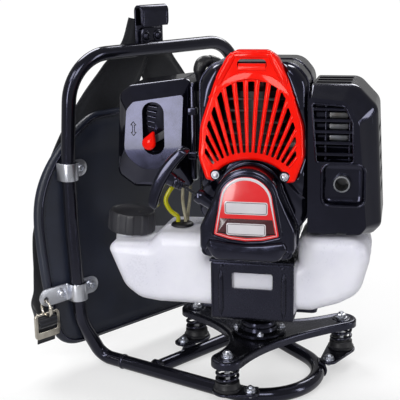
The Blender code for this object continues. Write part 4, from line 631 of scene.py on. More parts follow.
# Each row: the material's name, its slot, two tones, the roughness's range, the size of its patches in mm,
# its grain's size, strength and depth in mm, and the shader's own values.
PLAIN = {
    # Polyester powder, sprayed and baked on tube: deep gloss black with a faint orange peel.
    "tube_paint": ("gloss_black_powder_coat", "black_paint", "#08080b", "#0d0d12", (0.12, 0.24), 60,
                   (1.6, 0.10, 0.06),
                   {"IOR": 1.5, "Specular Tint": BLUE_GLOSS, "Coat Weight": 0.4, "Coat Roughness": 0.06}),
    # Sprayed enamel on pressed sheet: satin gloss black over faint forming marks.
    "sheet_paint": ("black_enamel_sheet", "black_paint", "#0a0a0d", "#111115", (0.20, 0.34), 30,
                    (1.2, 0.12, 0.06),
                    {"IOR": 1.5, "Specular Tint": BLUE_GLOSS, "Coat Weight": 0.2, "Coat Roughness": 0.15}),
    # ABS moulded in a polished tool: nearly mirror-smooth bluish black.
    "black_abs": ("gloss_black_abs", "black_plastic", "#05050a", "#0a0a11", (0.10, 0.20), 50,
                  (9.0, 0.05, 0.10),
                  {"IOR": 1.53, "Specular Tint": linear("#c4c6ff"), "Coat Weight": 0.45,
                   "Coat Roughness": 0.03}),
    # Glass-filled nylon from an etched tool: dark grey and matt, with a sparkle grain.
    "grey_nylon": ("etched_grey_nylon", "black_plastic", "#242429", "#2f2f35", (0.38, 0.58), 25,
                   (0.5, 0.35, 0.08), {"IOR": 1.53}),
    # ABS coloured through and moulded: bright signal red with a polished skin.
    "red_abs": ("gloss_red_abs", "red_plastic", "#f20a00", "#fb1404", (0.10, 0.20), 60, (9.0, 0.04, 0.10),
                {"IOR": 1.53, "Specular Tint": linear("#ff8c78"), "Coat Weight": 0.35,
                 "Coat Roughness": 0.03}),
    # Blow-moulded natural polyethylene: milky, waxy and lit from within, with soft mottling.
    "tank": ("natural_hdpe", "tank_plastic", "#e0e0eb", "#ebebf4", (0.26, 0.40), 45, (2.4, 0.16, 0.10),
             {"IOR": 1.54, "Subsurface Weight": 0.45, "Subsurface Radius": (1.0, 0.95, 1.05),
              "Subsurface Scale": 6 * MM}),
    # Zinc electroplate on pressed steel: bluish silver with cloudy streaks.
    "zinc": ("bright_zinc_plate", "zinc", "#cdd0d9", "#e2e4ec", (0.26, 0.38), 22, (0.5, 0.06, 0.03), METAL,
             (1, 1, 4)),
    # Turned and ground steel: grey, with fine tool marks.
    "steel": ("turned_steel", "steel", "#8d9096", "#aeb1b6", (0.22, 0.40), 12, (0.4, 0.18, 0.04), METAL),
    # Nickel plate on wire: warm pale silver.
    "nickel": ("nickel_plate", "zinc", "#c9c2b6", "#e2dccf", (0.12, 0.26), 8, (0.5, 0.05, 0.03), METAL),
    # Pressure die-cast and shot-blasted aluminium: pale grey and grainy.
    "cast": ("die_cast_aluminium", "aluminium", "#9a9da1", "#b9bbbe", (0.34, 0.56), 18, (0.7, 0.5, 0.12),
             METAL),
    # Die-cast aluminium darkened nearly to black as painted shade, for the cylinder inside the cover: dull
    # and grainy.
    "shade_dark_cast": ("stoved_black_aluminium", "aluminium", "#1b1b1d", "#28282b", (0.45, 0.65), 18,
                  (0.7, 0.4, 0.10), {"IOR": 1.5}),
    # Pressed steel that has run hot: dull grey with straw and blue blooms.
    "hot": ("heated_steel", "steel", "#6a645c", "#878b93", (0.30, 0.50), 20, (0.8, 0.2, 0.06), METAL),
    # Moulded nitrile rubber: soft black and matt, with a bloom of grey.
    "rubber": ("moulded_rubber", "rubber", "#0b0b10", "#15151c", (0.34, 0.56), 14, (0.7, 0.3, 0.08),
               {"IOR": 1.52}),
    # Extruded polyurethane fuel line, tinted: clear greenish yellow.
    "yellow_tube": ("yellow_polyurethane_tube", "fuel_yellow", "#c9c400", "#e6e016", (0.08, 0.20), 12,
                    (3.0, 0.05, 0.05), TUBING),
    # Extruded polyurethane fuel line, aged by fuel: clear straw.
    "clear_tube": ("clear_polyurethane_tube", "fuel_clear", "#b9b195", "#d8d2b8", (0.08, 0.20), 12,
                   (3.0, 0.05, 0.05), TUBING),
    # Screen-printed polycarbonate: flat ink under a clear gloss film.
    "badge_red": ("printed_badge_red", "badge", "#d8161b", "#e0252a", (0.16, 0.24), 50, (6.0, 0.03, 0.05),
                  PRINT),
    "badge_maroon": ("printed_badge_maroon", "badge", "#3a0c14", "#42121a", (0.16, 0.24), 50,
                     (6.0, 0.03, 0.05), PRINT),
    "badge_silver": ("printed_badge_silver", "badge", "#c9c6cc", "#d6d3d8", (0.16, 0.24), 50,
                     (6.0, 0.03, 0.05), PRINT),
}
PATTERNED = {"foam": (foam, "foam"), "vinyl": (vinyl, "pad_vinyl"), "webbing": (webbing, "webbing"),
             "strap_cloth": (strap_cloth, "webbing")}
MADE = {}


def material(key):
    """The material of a finish, made when it is first used."""
    if key not in MADE:
        if key in PATTERNED:
            MADE[key] = PATTERNED[key][0]()
        else:
            name, _, *look = PLAIN[key]
            MADE[key] = plain_finish(key, name, *look)
    return MADE[key]


# Carrying frame

TUBE_R = 8.0
FOOT_Z = 8.2
LOOP_Z = 8.0
JOIN_Y = 128.0
UPRIGHT_X = 130.0
CROSS_Y = 88.0
HOOK_X = -8.0
LOOP_HALF, LOOP_TAPER = 68.2, 0.22
LOOP_LEAN = math.atan(LOOP_TAPER)
LOOP_R = LOOP_HALF * math.cos(LOOP_LEAN)
UPRIGHT_BENDS = np.array(((62.0, 163.0), (175.0, 171.0), (252.0, 171.0), (366.0, 158.0)))


def loop_x(y):
    """Half the base loop's width at a place along it: a straight taper."""
    return LOOP_HALF + LOOP_TAPER * y


def upright_y(z):
    """Where the uprights' axis lies at a height: straight between their bends."""
    return np.interp(z, UPRIGHT_BENDS[:, 0], UPRIGHT_BENDS[:, 1])


def above_floor(part):
    """A part whose lowest points are pressed flat just above the floor."""
    points, faces = part
    return np.column_stack([points[:, :2], np.maximum(points[:, 2], 0.2)]), faces


def weld_bead(place, axis, radius, swell=1.3, length=5.0):
    """A rippled bead round a tube: a half circle of its own swell, scalloped by a wave round the joint."""
    t = np.linspace(0, math.pi, 9)
    crown = np.stack([radius - 0.4 + swell * np.sin(t), -length / 2 * np.cos(t)], 1)
    profile = np.vstack([[(radius - 1.0, -length / 2)], crown, [(radius - 1.0, length / 2)]])
    return turned(profile, place, axis, 72, True, lambda a, row: 1 + 0.012 * np.sin(24 * a + row))


def build_hoop(tube):
    """Bent tube hoop, mirrored about its middle, with the hook's lug and its weld."""
    left = [(-loop_x(JOIN_Y), JOIN_Y, FOOT_Z), (-loop_x(160), 160, FOOT_Z)]
    left += [(-UPRIGHT_X, y, z) for z, y in UPRIGHT_BENDS]
    radii = [0, 30, 60, 200, 200, 50]
    path = route(left + [(-x, y, z) for x, y, z in left[::-1]], radii + radii[::-1], 16)
    inside = np.array((0, 150, 190))
    hoop = sweep(path, circle(tube, 36), inside - path)
    lug = box(HOOK_X - 16, HOOK_X + 16, 364, 390, [1, 1, 6, 6], 162.4, 166.0, 0.5)
    ripple = 1 + 0.14 * np.sin(np.linspace(0, 60, 60))[:, None] * (1, 1)
    weld = bar((HOOK_X - 16, 164, 373.2), (HOOK_X + 16, 164, 373.2), circle(1.8, 12), count=60, scale=ripple)
    piece("hoop", [hoop, lug, weld], "tube_paint", "frame", ["back_hoop"], hub)


def build_loop(tube):
    """Base loop: two tapered legs and an arc, with the tube welded across it and the beads at each joint."""
    arc = level_plan(arc_points((0, 0), LOOP_R, math.pi + LOOP_LEAN, TAU - LOOP_LEAN, 72), LOOP_Z)
    y = np.linspace(JOIN_Y - 0.3, arc[0, 1], 14)[:-1]
    leg = np.stack([-loop_x(y), y, np.full(13, LOOP_Z)], 1)
    half = loop_x(CROSS_Y)
    parts = [sweep(np.vstack([leg, arc, (leg * (-1, 1, 1))[::-1]]), circle(tube, 36)),
             bar((-half, CROSS_Y, LOOP_Z), (half, CROSS_Y, LOOP_Z), circle(tube - 0.2, 36))]
    flare = [(7.5, -6), (7.9, -5), (8.7, -2.5), (10.0, 0.4), (9.0, 3.0), (7.5, 3.0)]
    for side in (-1, 1):
        weld = turned(flare, (side * (half - 8.4), CROSS_Y, LOOP_Z), (side, 0, 0), 64, True,
                      lambda a, row: 1 + 0.010 * np.sin(22 * a) * (row == 3))
        joint = weld_bead((side * loop_x(JOIN_Y), JOIN_Y - 0.1, LOOP_Z + 0.1), (side * 0.215, 0.977, 0), tube)
        parts += [above_floor(weld), above_floor(joint)]
    piece("base", parts, "tube_paint", "frame", ["base_loop"], hub)


# Back pad

PAD_TOP_Z, PAD_BOTTOM_Z, PAD_HALF = 299.0, 27.0, 163.0
PAD_WIDEST_Z, PAD_FOOT_Z = 175.0, 60.0
PAD_SEAMS_Z, PAD_SEAM_X = (95, 150, 205, 255), 52.0


def pad_half_width(z):
    """Half the pad's width: a power curve at the shoulders, a slight waist, a quarter ellipse at the foot."""
    rise = np.clip((z - PAD_WIDEST_Z) / (PAD_TOP_Z - PAD_WIDEST_Z), 0, 1)
    top = PAD_HALF * np.sqrt(1 - 0.70 * rise ** 2.3)
    fall = np.clip((PAD_FOOT_Z - z) / (PAD_FOOT_Z - PAD_BOTTOM_Z), 0, 1)
    foot = PAD_HALF - 6 - 22 * (1 - np.sqrt(1 - fall ** 2))
    middle = PAD_HALF - 6 * ((PAD_WIDEST_Z - z) / (PAD_WIDEST_Z - PAD_FOOT_Z)) ** 2
    return np.where(z > PAD_WIDEST_Z, top, np.where(z < PAD_FOOT_Z, foot, middle))


def pad_front(x, z):
    """The pad's front face: it rests on the uprights and turns back as a square beyond them."""
    side = np.clip((np.abs(x) - 118) / 45, 0, None)
    return upright_y(z) + TUBE_R + 0.3 + 14 * side ** 2


def ridges(values, places, width):
    """1 on each of some places and falling off as a bell curve from them."""
    return np.exp(-((values[:, None] - np.array(places)) / width) ** 2).max(1)


def build_pad(thickness, channel):
    """Padded board: rings drawn to its middle on both faces, sewn channels as dips, and edge piping."""
    z = np.linspace(PAD_BOTTOM_Z, PAD_TOP_Z, 80)
    right = np.stack([pad_half_width(z), z], 1)
    rim = softened(np.vstack([right, (right * (-1, 1))[::-1]]), 8.0, 240)
    middle, edge = np.array((0.0, 160.0)), thickness * 0.35
    shares = np.linspace(0, 1, 26)[:-1] ** 0.8
    rings = [(middle + (offset(rim, edge) - middle) * s, 0.0, s) for s in shares]
    for t in np.sin(np.linspace(-QUARTER, QUARTER, 9)):
        rings.append((offset(rim, edge * (1 - math.sqrt(max(0.0, 1 - t * t)))), (t + 1) / 2, 1.0))
    rings += [(flat, 1.0, s) for flat, _, s in rings[:len(shares)][::-1]]
    grid = []
    for flat, level, s in rings:
        y = pad_front(*flat.T) + thickness * level
        seam = math.exp(-((s - 0.93) / 0.02) ** 2)
        if level == 1.0:
            x = np.abs(flat[:, 0])
            sewn = np.maximum(ridges(flat[:, 1], PAD_SEAMS_Z, 3.0) * (x < 96), ridges(x, (PAD_SEAM_X,), 3.0))
            y += 3.2 * (1 - s ** 6) * (1 - 0.9 * sewn) - channel * 0.4 * seam
        if level == 0.0:
            y += 0.8 * seam
        grid.append(upright(flat, y))
    pad = piece("pad", [surface(grid)], "vinyl", "frame", ["back_pad"], hub, sharp=60)
    line = even(offset(rim, 5.5), 220)
    for word, depth in (("front", -1.1), ("rear", thickness + 0.4)):
        piece(f"pad_piping_{word}", [bead(line, pad_front(*line.T) + depth, 1.3, 10)], "black_abs", "frame",
              place=hub, slot="pad_vinyl")
    build_stitches(rim)


def build_stitches(rim):
    """Thread stitches inside the piping: short bars, bent by a sine, evenly round its front face."""
    line = even(offset(rim, 9.0), 190)
    ahead = np.roll(line, -1, 0)
    a, b = line * 0.72 + ahead * 0.28, line * 0.28 + ahead * 0.72
    t = np.linspace(0, 1, 4)[None, :, None]
    flat = a[:, None] * (1 - t) + b[:, None] * t
    spine = upright(flat, pad_front(flat[..., 0], flat[..., 1]) - 0.35 * np.sin(math.pi * t[..., 0]))
    across = unit(np.cross(unit(spine[:, -1] - spine[:, 0])[:, None], Y_AXIS))
    ring = circle(0.45, 6)
    points = spine[:, :, None] + across[:, :, None] * ring[:, 0, None] + np.array(Y_AXIS) * ring[:, 1, None]
    piece("pad_stitches", [surface(stitch, caps="flat") for stitch in points], "strap_cloth", "frame",
          place=hub, slot="pad_vinyl")


# Pad clamps

UPPER_CLAMP_Z, LOWER_CLAMP_Z, EAR_Y, EAR_X = 237.0, 96.0, 7.0, 170.0


def clamp_path(inner_ear, outer_ear):
    """Middle line of a saddle in plan, about its tube: ear, wall, half ring of one radius, wall and ear."""
    ring, reach = 9.75, 12.75
    right = route([(ring, 0), (ring, EAR_Y), (inner_ear, EAR_Y)], [0, 2.2, 0], 10)
    right = np.vstack([right[:-1], np.linspace((reach, EAR_Y), right[-1], 30)])
    left = np.array([(-ring, 8.0), (-ring, 4.0)])
    if outer_ear:
        left = route([(-outer_ear, EAR_Y), (-ring, EAR_Y), (-ring, 0)], [0, 2.2, 0], 10)
        left = np.vstack([np.linspace(left[0], (-reach, EAR_Y), 40), left[1:]])
    path = np.vstack([left, arc_points((0, 0), ring, math.pi, TAU, 40)[1:-1], right])
    return path[np.concatenate([[True], np.linalg.norm(np.diff(path, axis=0), axis=1) > 0.05])]


def round_end(distance):
    """A half circle of radius 10 as a share of the width, by the distance from the end."""
    return np.sqrt(np.clip(1 - (1 - np.clip(distance / 10, 0.004, 1)) ** 2, 0, 1))


def build_clamps():
    """Pressed zinc saddles with round-ended ears, and their screws, washers and nuts."""
    for name, level, inner, outer in (("upper", UPPER_CLAMP_Z, 30.0, 0),
                                      ("lower", LOWER_CLAMP_Z, 34.0, 48.0)):
        flat = clamp_path(inner, outer)
        far = along(flat)
        width = round_end(far[-1] - far) * (round_end(far) if outer else 1)
        depth = float(upright_y(level))
        lean = float(upright_y(level + 1)) - depth
        for side, word in SIDES:
            path = level_plan(np.stack([side * (UPRIGHT_X - flat[:, 0]), depth + flat[:, 1]], 1), level)
            saddle = sweep(path, rounded_box(2.0, 20.0, 0.5), (0, lean, 1), np.stack([width ** 0, width], 1))
            hole = turned([(0, -6), (3.4, -6), (3.4, 6), (0, 6)], (side * EAR_X, depth + EAR_Y, 94), Y_AXIS,
                          32)
            piece(f"{name}_saddle_{word}", [saddle], "zinc", "frame", [f"{name}_clamp_{word}"], hub,
                  [hole] if outer else ())
            parts = []
            for away in (10 - inner, 18) if outer else (10 - inner,):
                x = side * (UPRIGHT_X + away)
                back = float(pad_front(x, level)) + 9.6
                parts += screw_head((x, depth + 6.0, level), FORWARD, 4.8, 2.9, 6.4)
                parts.append(turned([(0, 0), (7.0, 0), (7.0, 0.8), (6.6, 1.2), (0, 1.2)], (x, back, level),
                                    Y_AXIS, 40))
                parts += nut((x, back + 1.0, level), Y_AXIS, 8.0, 2.6, 2.4)
            piece(f"{name}_saddle_{word}_screws", parts, "zinc", "frame", place=hub)


# Spring mount

SEATS = ((-78.0, -26.0), (94.0, -44.0), (0.0, 104.0))
FEET = ((-64.7, -47.0), (57.5, -55.6), (-24.0, 102.5))
SEAT_Z, SEAT_TOP, CUP_Z, SPRING_Z, PLATE_Z, PLATE_TOP, HUB_Z = 16.3, 19.3, 19.6, 29.9, 53.2, 56.2, 56.5
ARM_END, HUB_PASS, SQUASHED = 17.5, 37.0, 0.739


def seat_saddle(foot, rear):
    """The saddle under a seat: its section line is an arc round the outer side of the tube."""
    round_tube = arc_points((0, LOOP_Z), 9.4, math.radians(-40), math.radians(86), 24)
    if rear:
        return sweep(np.column_stack([np.full(24, foot[0]), round_tube + (CROSS_Y, 0)]),
                     rounded_box(2.6, 15.0, 0.8), X_AXIS)
    out = unit(np.asarray(foot, float))
    path = np.column_stack([out * (LOOP_R + round_tube[:, :1]), round_tube[:, 1]])
    return sweep(path, rounded_box(2.6, 15.0, 0.8), (-out[1], out[0], 0))


def build_seats():
    """Brackets on the frame tubes: a plate with round ends, a saddle round the tube, and a clamp bolt."""
    for seat, foot, word in zip(SEATS, FEET, SEAT_WORDS):
        bracket = plate(capsule(seat, foot, 16.5, 10.0), SEAT_Z, SEAT_TOP, 0.9, level_plan)
        parts = [bracket, seat_saddle(foot, word == "rear")]
        piece(f"seat_{word}", parts, "sheet_paint", "frame", [f"spring_seat_{word}"], hub)
        parts = [disc(6.4, 0.8, 1.0, (*foot, SEAT_TOP), count=40)]
        parts += nut((*foot, SEAT_TOP + 0.8), Z_AXIS, 9.0, 3.6) + nut((*foot, SEAT_Z), (0, 0, -1), 9.0, 2.6)
        piece(f"seat_bolt_{word}", parts, "zinc", "frame", place=hub)


def build_springs(wire, turns):
    """Coil springs whose wire follows a helix with flat ends."""
    for seat, word in zip(SEATS, SEAT_WORDS):
        path = helix(seat, 11.3, SPRING_Z + 0.3 + wire, SPRING_Z + 22.7 - wire, turns)
        spring = piece(f"spring_{word}", [sweep(path, circle(wire, 14))], "tube_paint", "frame",
                       [f"mount_spring_{word}"], hub, sharp=60)
        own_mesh(spring)


def build_cups():
    """Rubber cups under the springs: a flange, a fluted cone and a bore, turned about each bolt."""
    cup = [(3.3, 0), (14.6, 0), (15.0, 0.4), (15.0, 2.6), (14.6, 3.0), (13.8, 3.3), (13.6, 4.6), (13.4, 5.0),
           (13.4, 6.6), (13.2, 7.0), (13.1, 9.2), (12.4, 10.0), (3.3, 10.0)]
    for seat, word in zip(SEATS, SEAT_WORDS):
        piece(f"cup_{word}", [turned(cup, (*seat, CUP_Z), closed=True)], "rubber", "frame",
              [f"lower_buffer_{word}"], hub)


def build_spring_bolts():
    """Long bolts through cup, spring and plate, with a hexagon head below and a lock nut above."""
    low, high = SEAT_Z - 0.3, PLATE_TOP + 0.3
    shank = [(0, low - 1), (3, low - 1), (3, high + 6.6), (2.4, high + 7.4), (0, high + 7.4)]
    collar = [(0, high + 4.4), (4.6, high + 4.4), (4.4, high + 5.3), (3.0, high + 5.7), (0, high + 5.7)]
    for seat, word in zip(SEATS, SEAT_WORDS):
        parts = [turned(shank, (*seat, 0), count=32), turned(collar, (*seat, 0), count=32),
                 disc(6.6, 0.9, 1.2, (*seat, high), count=40), nut((*seat, low - 4), Z_AXIS, 9.6, 4.0)[0],
                 nut((*seat, high + 1.0), Z_AXIS, 9.6, 3.8)[0]]
        piece(f"mount_bolt_{word}", parts, "zinc", "frame", [f"spring_bolt_{word}"], hub)


def polar(radius, turn):
    """A plan's point at a radius and an angle."""
    return np.array((radius * math.cos(turn), radius * math.sin(turn)))


def plate_outline():
    """Three round arm ends joined by parabolas that pass the hub at one radius, averaged over 2 mm."""
    arms = sorted(SEATS, key=lambda seat: math.atan2(seat[1], seat[0]))
    points = []
    for seat, other in zip(arms, arms[1:] + arms[:1]):
        heading, next_heading = math.atan2(seat[1], seat[0]), math.atan2(other[1], other[0])
        end = arc_points(seat, ARM_END, heading - QUARTER, heading + QUARTER, 20)
        first = np.array(other) + polar(ARM_END, next_heading - QUARTER)
        middle = heading + ((next_heading - heading) % TAU) / 2
        pull = polar(2 * HUB_PASS, middle) - (end[-1] + first) / 2
        t = np.linspace(0, 1, 26)[1:-1, None]
        points += [end, (1 - t) ** 2 * end[-1] + 2 * t * (1 - t) * pull + t ** 2 * first]
    return softened(np.vstack(points), 2.0, 260)


def build_plate():
    """Pressed three-arm plate: a turned-down rim, a rolled edge and a shallow pressed field."""
    rim = plate_outline()
    low, top = PLATE_TOP - 8.5, PLATE_TOP
    rows = [(0.0, low)] + [(r, top - d) for r, d in edge_rows(2.6, 6)]
    rows += [(3.6, top), (5.4, top - 0.35), (6.6, top - 1.0), (7.8, top - 1.1)]
    outer = [level_plan(offset(rim, r), z) for r, z in rows]
    folds = ((0, low), (0.6, low - 0.3), (2.0, low), (2.6, PLATE_Z))
    inner = [level_plan(offset(rim, r), z) for r, z in folds]
    boss = [(0, top - 2), (11.0, top - 1.4), (10.2, top - 0.2), (9.0, top), (0, top)]
    pads = [turned(boss, (*seat, 0), count=48) for seat in SEATS]
    piece("mount_plate", [surface(outer), surface(inner), lid(outer[-1]), lid(inner[-1])] + pads,
          "sheet_paint", "plate", ["spring_plate"], hub)


def build_hub():
    """Bearing housing turned from bar: a flange, a grooved body and a lip, held by four bolts."""
    profile = [(9, 0.6), (29.4, 0.0), (30, 0.6), (30, 2.9), (29.4, 3.5), (22.6, 3.7), (21.4, 4.4),
               (20.9, 6.0), (20.4, 8.2), (18.9, 8.8), (18.9, 10.2), (20.2, 10.8), (20.0, 14.0), (19.0, 15.2),
               (17.0, 16.5), (12, 16.5), (9, 16.2)]
    piece("bearing_housing", [turned(profile, (0, 0, HUB_Z), closed=True, count=80)], "sheet_paint", "plate",
          ["swivel_hub"], hub)
    parts = []
    for k in range(4):
        place = polar(25.5, math.radians(45 + 90 * k))
        parts.append(disc(4.2, 0.7, 0.8, (*place, HUB_Z + 3.4)))
        parts += nut((*place, HUB_Z + 4.0), Z_AXIS, 6.6, 2.5, 1.7)
    piece("housing_bolts", parts, "zinc", "plate", place=hub)


# Harness

STRAP_T, STRAP_W, HOOK_Y = 7.0, 54.0, 162.3


def build_hook():
    """Folded strip: a path up the lug, round a half circle and down to a lip, with two screws."""
    back, front, top = HOOK_Y + 5.5, HOOK_Y - 5.5, 409.0
    fold = np.column_stack([np.full(24, HOOK_X), arc_points((HOOK_Y, top), 5.5, 0, math.pi, 24)])
    rise = np.linspace((HOOK_X, back, 358), (HOOK_X, back, top), 20)[:-1]
    lip = np.linspace((HOOK_X, front, top), (HOOK_X, front - 0.4, 392), 12)[1:]
    path = np.vstack([rise, fold, lip])
    width = eased_ends(len(path), 0.10, 1.5)
    strip = sweep(path, rounded_box(3.0, 42.0, 1.3, 6), X_AXIS, np.stack([width ** 0, width], 1))
    ribs = [bar((HOOK_X + x, front - 1.7, 394), (HOOK_X + x, front - 1.7, 408), circle(0.7, 10), X_AXIS, 10)
            for x in (-17, 17)]
    piece("hanger", [strip] + ribs, "black_abs", "frame", ["top_hook"], hub, slot="rubber")
    parts = []
    for x in (-9, 9):
        parts += screw_head((HOOK_X + x, HOOK_Y, 380), FORWARD, 5.0, 2.8, 6.6)
    piece("hanger_screws", parts, "sheet_paint", "frame", place=hub)


def strap_sections(side):
    """Centre, across direction, width and thickness down a strap, as the frame's own strap lies.

    The right strap lies over the left one where they cross, so its first places stand further back."""
    top_y = 158 + 8 + 0.3 + 3 + 0.3 + STRAP_T / 2
    down = [((HOOK_X + side * 7, top_y, 398), 34), ((HOOK_X + side * 14, top_y + 4, 366), 40),
            ((-4 + side * 34, 186, 335), STRAP_W), ((side * 62, 199, 300), STRAP_W),
            ((side * 84, 216, 255), STRAP_W), ((side * 101, 232, 200), STRAP_W),
            ((side * 116, 234, 145), STRAP_W)]
    places = np.array([p for p, _ in down], float)
    ahead = np.vstack([places[1:], places[-1:]]) - np.vstack([places[:1], places[:-1]])
    across = unit(np.cross(Y_AXIS, unit(ahead)))
    if side > 0:
        places[:, 1] += (STRAP_T + 2.5) * np.array((1, 1, 1, 0.5, 0, 0, 0))
    buckle_back = upright_y(LOWER_CLAMP_Z) + 8 - 1 + 1.5 + 0.45
    ends = [((130, 226, 104), (0.90, 0.1, 0.45), 40, 5.0), ((147, 213, 80), (0.70, 0.2, 0.70), 30, 3.0),
            ((164, 203, 68), (0.35, 0.2, 0.92), 25, 3.0), ((172, 190, 61), Z_AXIS, 25, 3.0),
            ((172, buckle_back, 59), Z_AXIS, 25, 3.0)]
    tail, tail_across, tail_widths, tail_depths = zip(*ends)
    mirror = (side, 1, 1)
    return (np.vstack([places, tail * np.array(mirror)]),
            np.vstack([across, unit(np.array(tail_across) * mirror) * -side]),
            np.array([w for _, w in down] + list(tail_widths), float),
            np.array([STRAP_T] * len(down) + list(tail_depths), float))


def build_straps():
    """Shoulder straps: a padded lens section that thins into flat webbing, sewn down both edges."""
    u, v = square_circle(44, 0.5)
    seams = np.exp(-((np.abs(u) - 0.84) / 0.05) ** 2)
    count, sewn = 150, slice(0, 78)
    for side, word in SIDES:
        places, across, widths, depths = strap_sections(side)
        path, sideways = spline(places, count), unit(spline(across, count))
        t = np.linspace(0, len(places) - 1, count)
        width, depth = (np.interp(t, np.arange(len(places)), a)[:, None] for a in (widths, depths))
        outward = unit(np.cross(unit(np.gradient(path, axis=0)), sideways))
        padded = np.clip((depth - 3) / 4, 0, 1)
        bulge = 1 + padded * (0.30 * (1 - np.abs(u) ** 2) - 0.45 * np.abs(u) ** 6 - 0.25 * seams)
        points = path[:, None] + sideways[:, None] * (u * width / 2)[..., None] \
            + outward[:, None] * (v * depth / 2 * bulge)[..., None]
        strap = piece(f"strap_{word}", [surface(points, caps="flat")], "strap_cloth", "frame",
                      [f"shoulder_strap_{word}"], hub, sharp=70)
        far = np.broadcast_to(along(path)[:, None], (count, 44))
        cloth_map(strap, np.stack([u * width / 2, far], -1).reshape(-1, 2))
        binding = outline(box_corners(-1.6, 1.6, -1.7, 1.7), 1.2)
        parts = [sweep(path[sewn] + sideways[sewn] * (edge * (width[sewn] / 2 - 0.2)), binding, outward[sewn])
                 for edge in (-1, 1)]
        made = piece(f"strap_binding_{word}", parts, "webbing", "frame", place=hub, sharp=60)
        corners = np.zeros(len(made.data.vertices) * 3)
        made.data.vertices.foreach_get("co", corners)
        cloth_map(made, corners.reshape(-1, 3)[:, (0, 2)] / MM)


def build_buckles():
    """Snap rings and ladder buckles: plated wire through each clamp's ear, and a pressed frame below."""
    y, ring_z, ring = float(upright_y(LOWER_CLAMP_Z)) + EAR_Y, 83.4, 9.0
    top = ring_z - ring + 5.3
    barrel = [(0, -4), (2.2, -4), (2.4, -3.4), (2.4, 3.4), (2.2, 4), (0, 4)]
    for side, word in SIDES:
        x = side * EAR_X
        turn = TAU * np.arange(48) / 48
        path = np.stack([np.full(48, x), y + ring * np.sin(turn), ring_z + ring * np.cos(turn)], 1)
        parts = [sweep(path, circle(1.5, 14), X_AXIS, ring=True),
                 turned(barrel, (x, y - ring, ring_z), count=24)]
        piece(f"snap_ring_{word}", parts, "nickel", "frame", [f"strap_hook_{word}"], hub)
        body = box(x - 17, x + 17, top - 31, top, 5, y - 1.5, y + 1.5, 0.9)
        slots = [box(x - 13, x + 13, high - 8, high, 1.8, y - 4, y + 4, 0.1)
                 for high in (top - 3.2, top - 14.7)]
        piece(f"ladder_buckle_{word}", [body], "nickel", "frame", [f"strap_buckle_{word}"], hub, slots,
              bevel=0.4)
        build_strap_end(word, x, y, top)


def build_strap_end(word, x, y, top):
    """Strap end threaded over its buckle's middle bar, with a short tail. Its line is a table of bends."""
    bends = ((7.5, -3), (4.0, -6.5), (0, -8.0), (-2.6, -9.5), (-3.2, -12.9), (-2.6, -16.3), (0, -17.8),
             (3.0, -19.5), (3.6, -24), (3.4, -30), (4.4, -38))
    count = 70
    path = spline([(x, y + away, top + rise) for away, rise in bends], count)
    points, faces = sweep(path, rounded_box(1.5, 24.0, 0.6), X_AXIS)
    made = piece(f"strap_end_{word}", [(points, faces)], "webbing", "frame", place=hub, sharp=60)
    row = np.minimum(np.arange(len(points)) // (len(points) // count), count - 1)
    cloth_map(made, np.stack([points[:, 0] - x, along(path)[row]], 1))


# Tank and cradle

CRANK_Z = 220.0
CRADLE_HALF, CRADLE_Y, CRADLE_Z = 44.0, (-50.0, 46.0), (86.0, 155.0)
TANK_Y = (-45.0, 41.0)
TANK_CORNERS = ((-106, 97.6), (-47, 97.6), (-43, 89.6), (43, 89.6), (47, 97.6), (62, 97.6), (92, 107.6),
                (113, 120), (123, 158), (120, 172), (106, 181), (53, 182), (47, 174), (47, 151.4),
                (-47, 151.4), (-47, 172), (-55, 179), (-104, 178), (-116, 166), (-157, 165), (-164, 158),
                (-146, 114), (-128, 100.5))
TANK_RADII = (24, 3, 4, 4, 3, 16, 30, 30, 20, 14, 14, 7, 4, 3, 3, 4, 9, 12, 7, 9, 9, 30, 26)
CAP_PLACE, CAP_TILT = np.array((-147.0, 0.0, 166.0)), math.radians(5.0)
CAP_AXIS = np.array((math.sin(CAP_TILT), 0.0, math.cos(CAP_TILT)))


def build_tank(edge):
    """Blow-moulded tank: a front view drawn in along a wide quarter round, a parting line and a neck."""
    rows, middle = plate_rows(*TANK_Y, edge, 9), sum(TANK_Y) / 2
    half = len(rows) // 2
    rows[half:half] = [(0, middle - 1.2), (-0.35, middle - 0.7), (-0.35, middle + 0.7), (0, middle + 1.2)]
    body = surface([upright(outline(TANK_CORNERS, TANK_RADII, r, 8), y) for r, y in rows], caps="flat")
    neck = [(0, -8), (17, -8), (17, 0.4), (19, 0.8), (19, 2.6), (17, 3.0), (15.6, 3.4), (15.6, 10), (0, 10)]
    piece("tank", [body, turned(neck, CAP_PLACE, CAP_AXIS)], "tank", "engine", ["fuel_tank"], sharp=50)


def build_cap(flutes):
    """Screw cap: a fluted skirt under a dished top. The flutes are a flattened cosine of the angle."""
    profile = [(17.6, 3.6), (26.0, 3.6), (26.8, 4.4), (27.0, 6.0), (27.0, 11.0), (26.9, 17.0), (26.6, 23.0),
               (26.2, 24.6), (25.2, 26.0), (23.4, 26.4), (22.6, 26.0), (21.8, 25.4), (12, 25.0), (0, 24.8),
               (0, 11.0), (17.6, 11.0)]
    depth = np.array([0, 0.6, 1, 1, 1, 1, 1, 0.7, 0.3, 0, 0, 0, 0, 0, 0, 0])

    def flute(angle, row):
        return 1 - 0.045 * depth[row] * np.clip(0.75 - 2.2 * np.cos(flutes * angle), 0, 1)
    parts = [turned(profile, CAP_PLACE, CAP_AXIS, flutes * 24, True, flute)]
    top = CAP_PLACE + CAP_AXIS * 25.0
    parts += [bar(top + (x, -7, 0), top + (x, 7, 0), circle(0.8, 10), count=8) for x in (-9, 9)]
    piece("filler_cap", parts, "grey_nylon", "cap", ["tank_cap"])


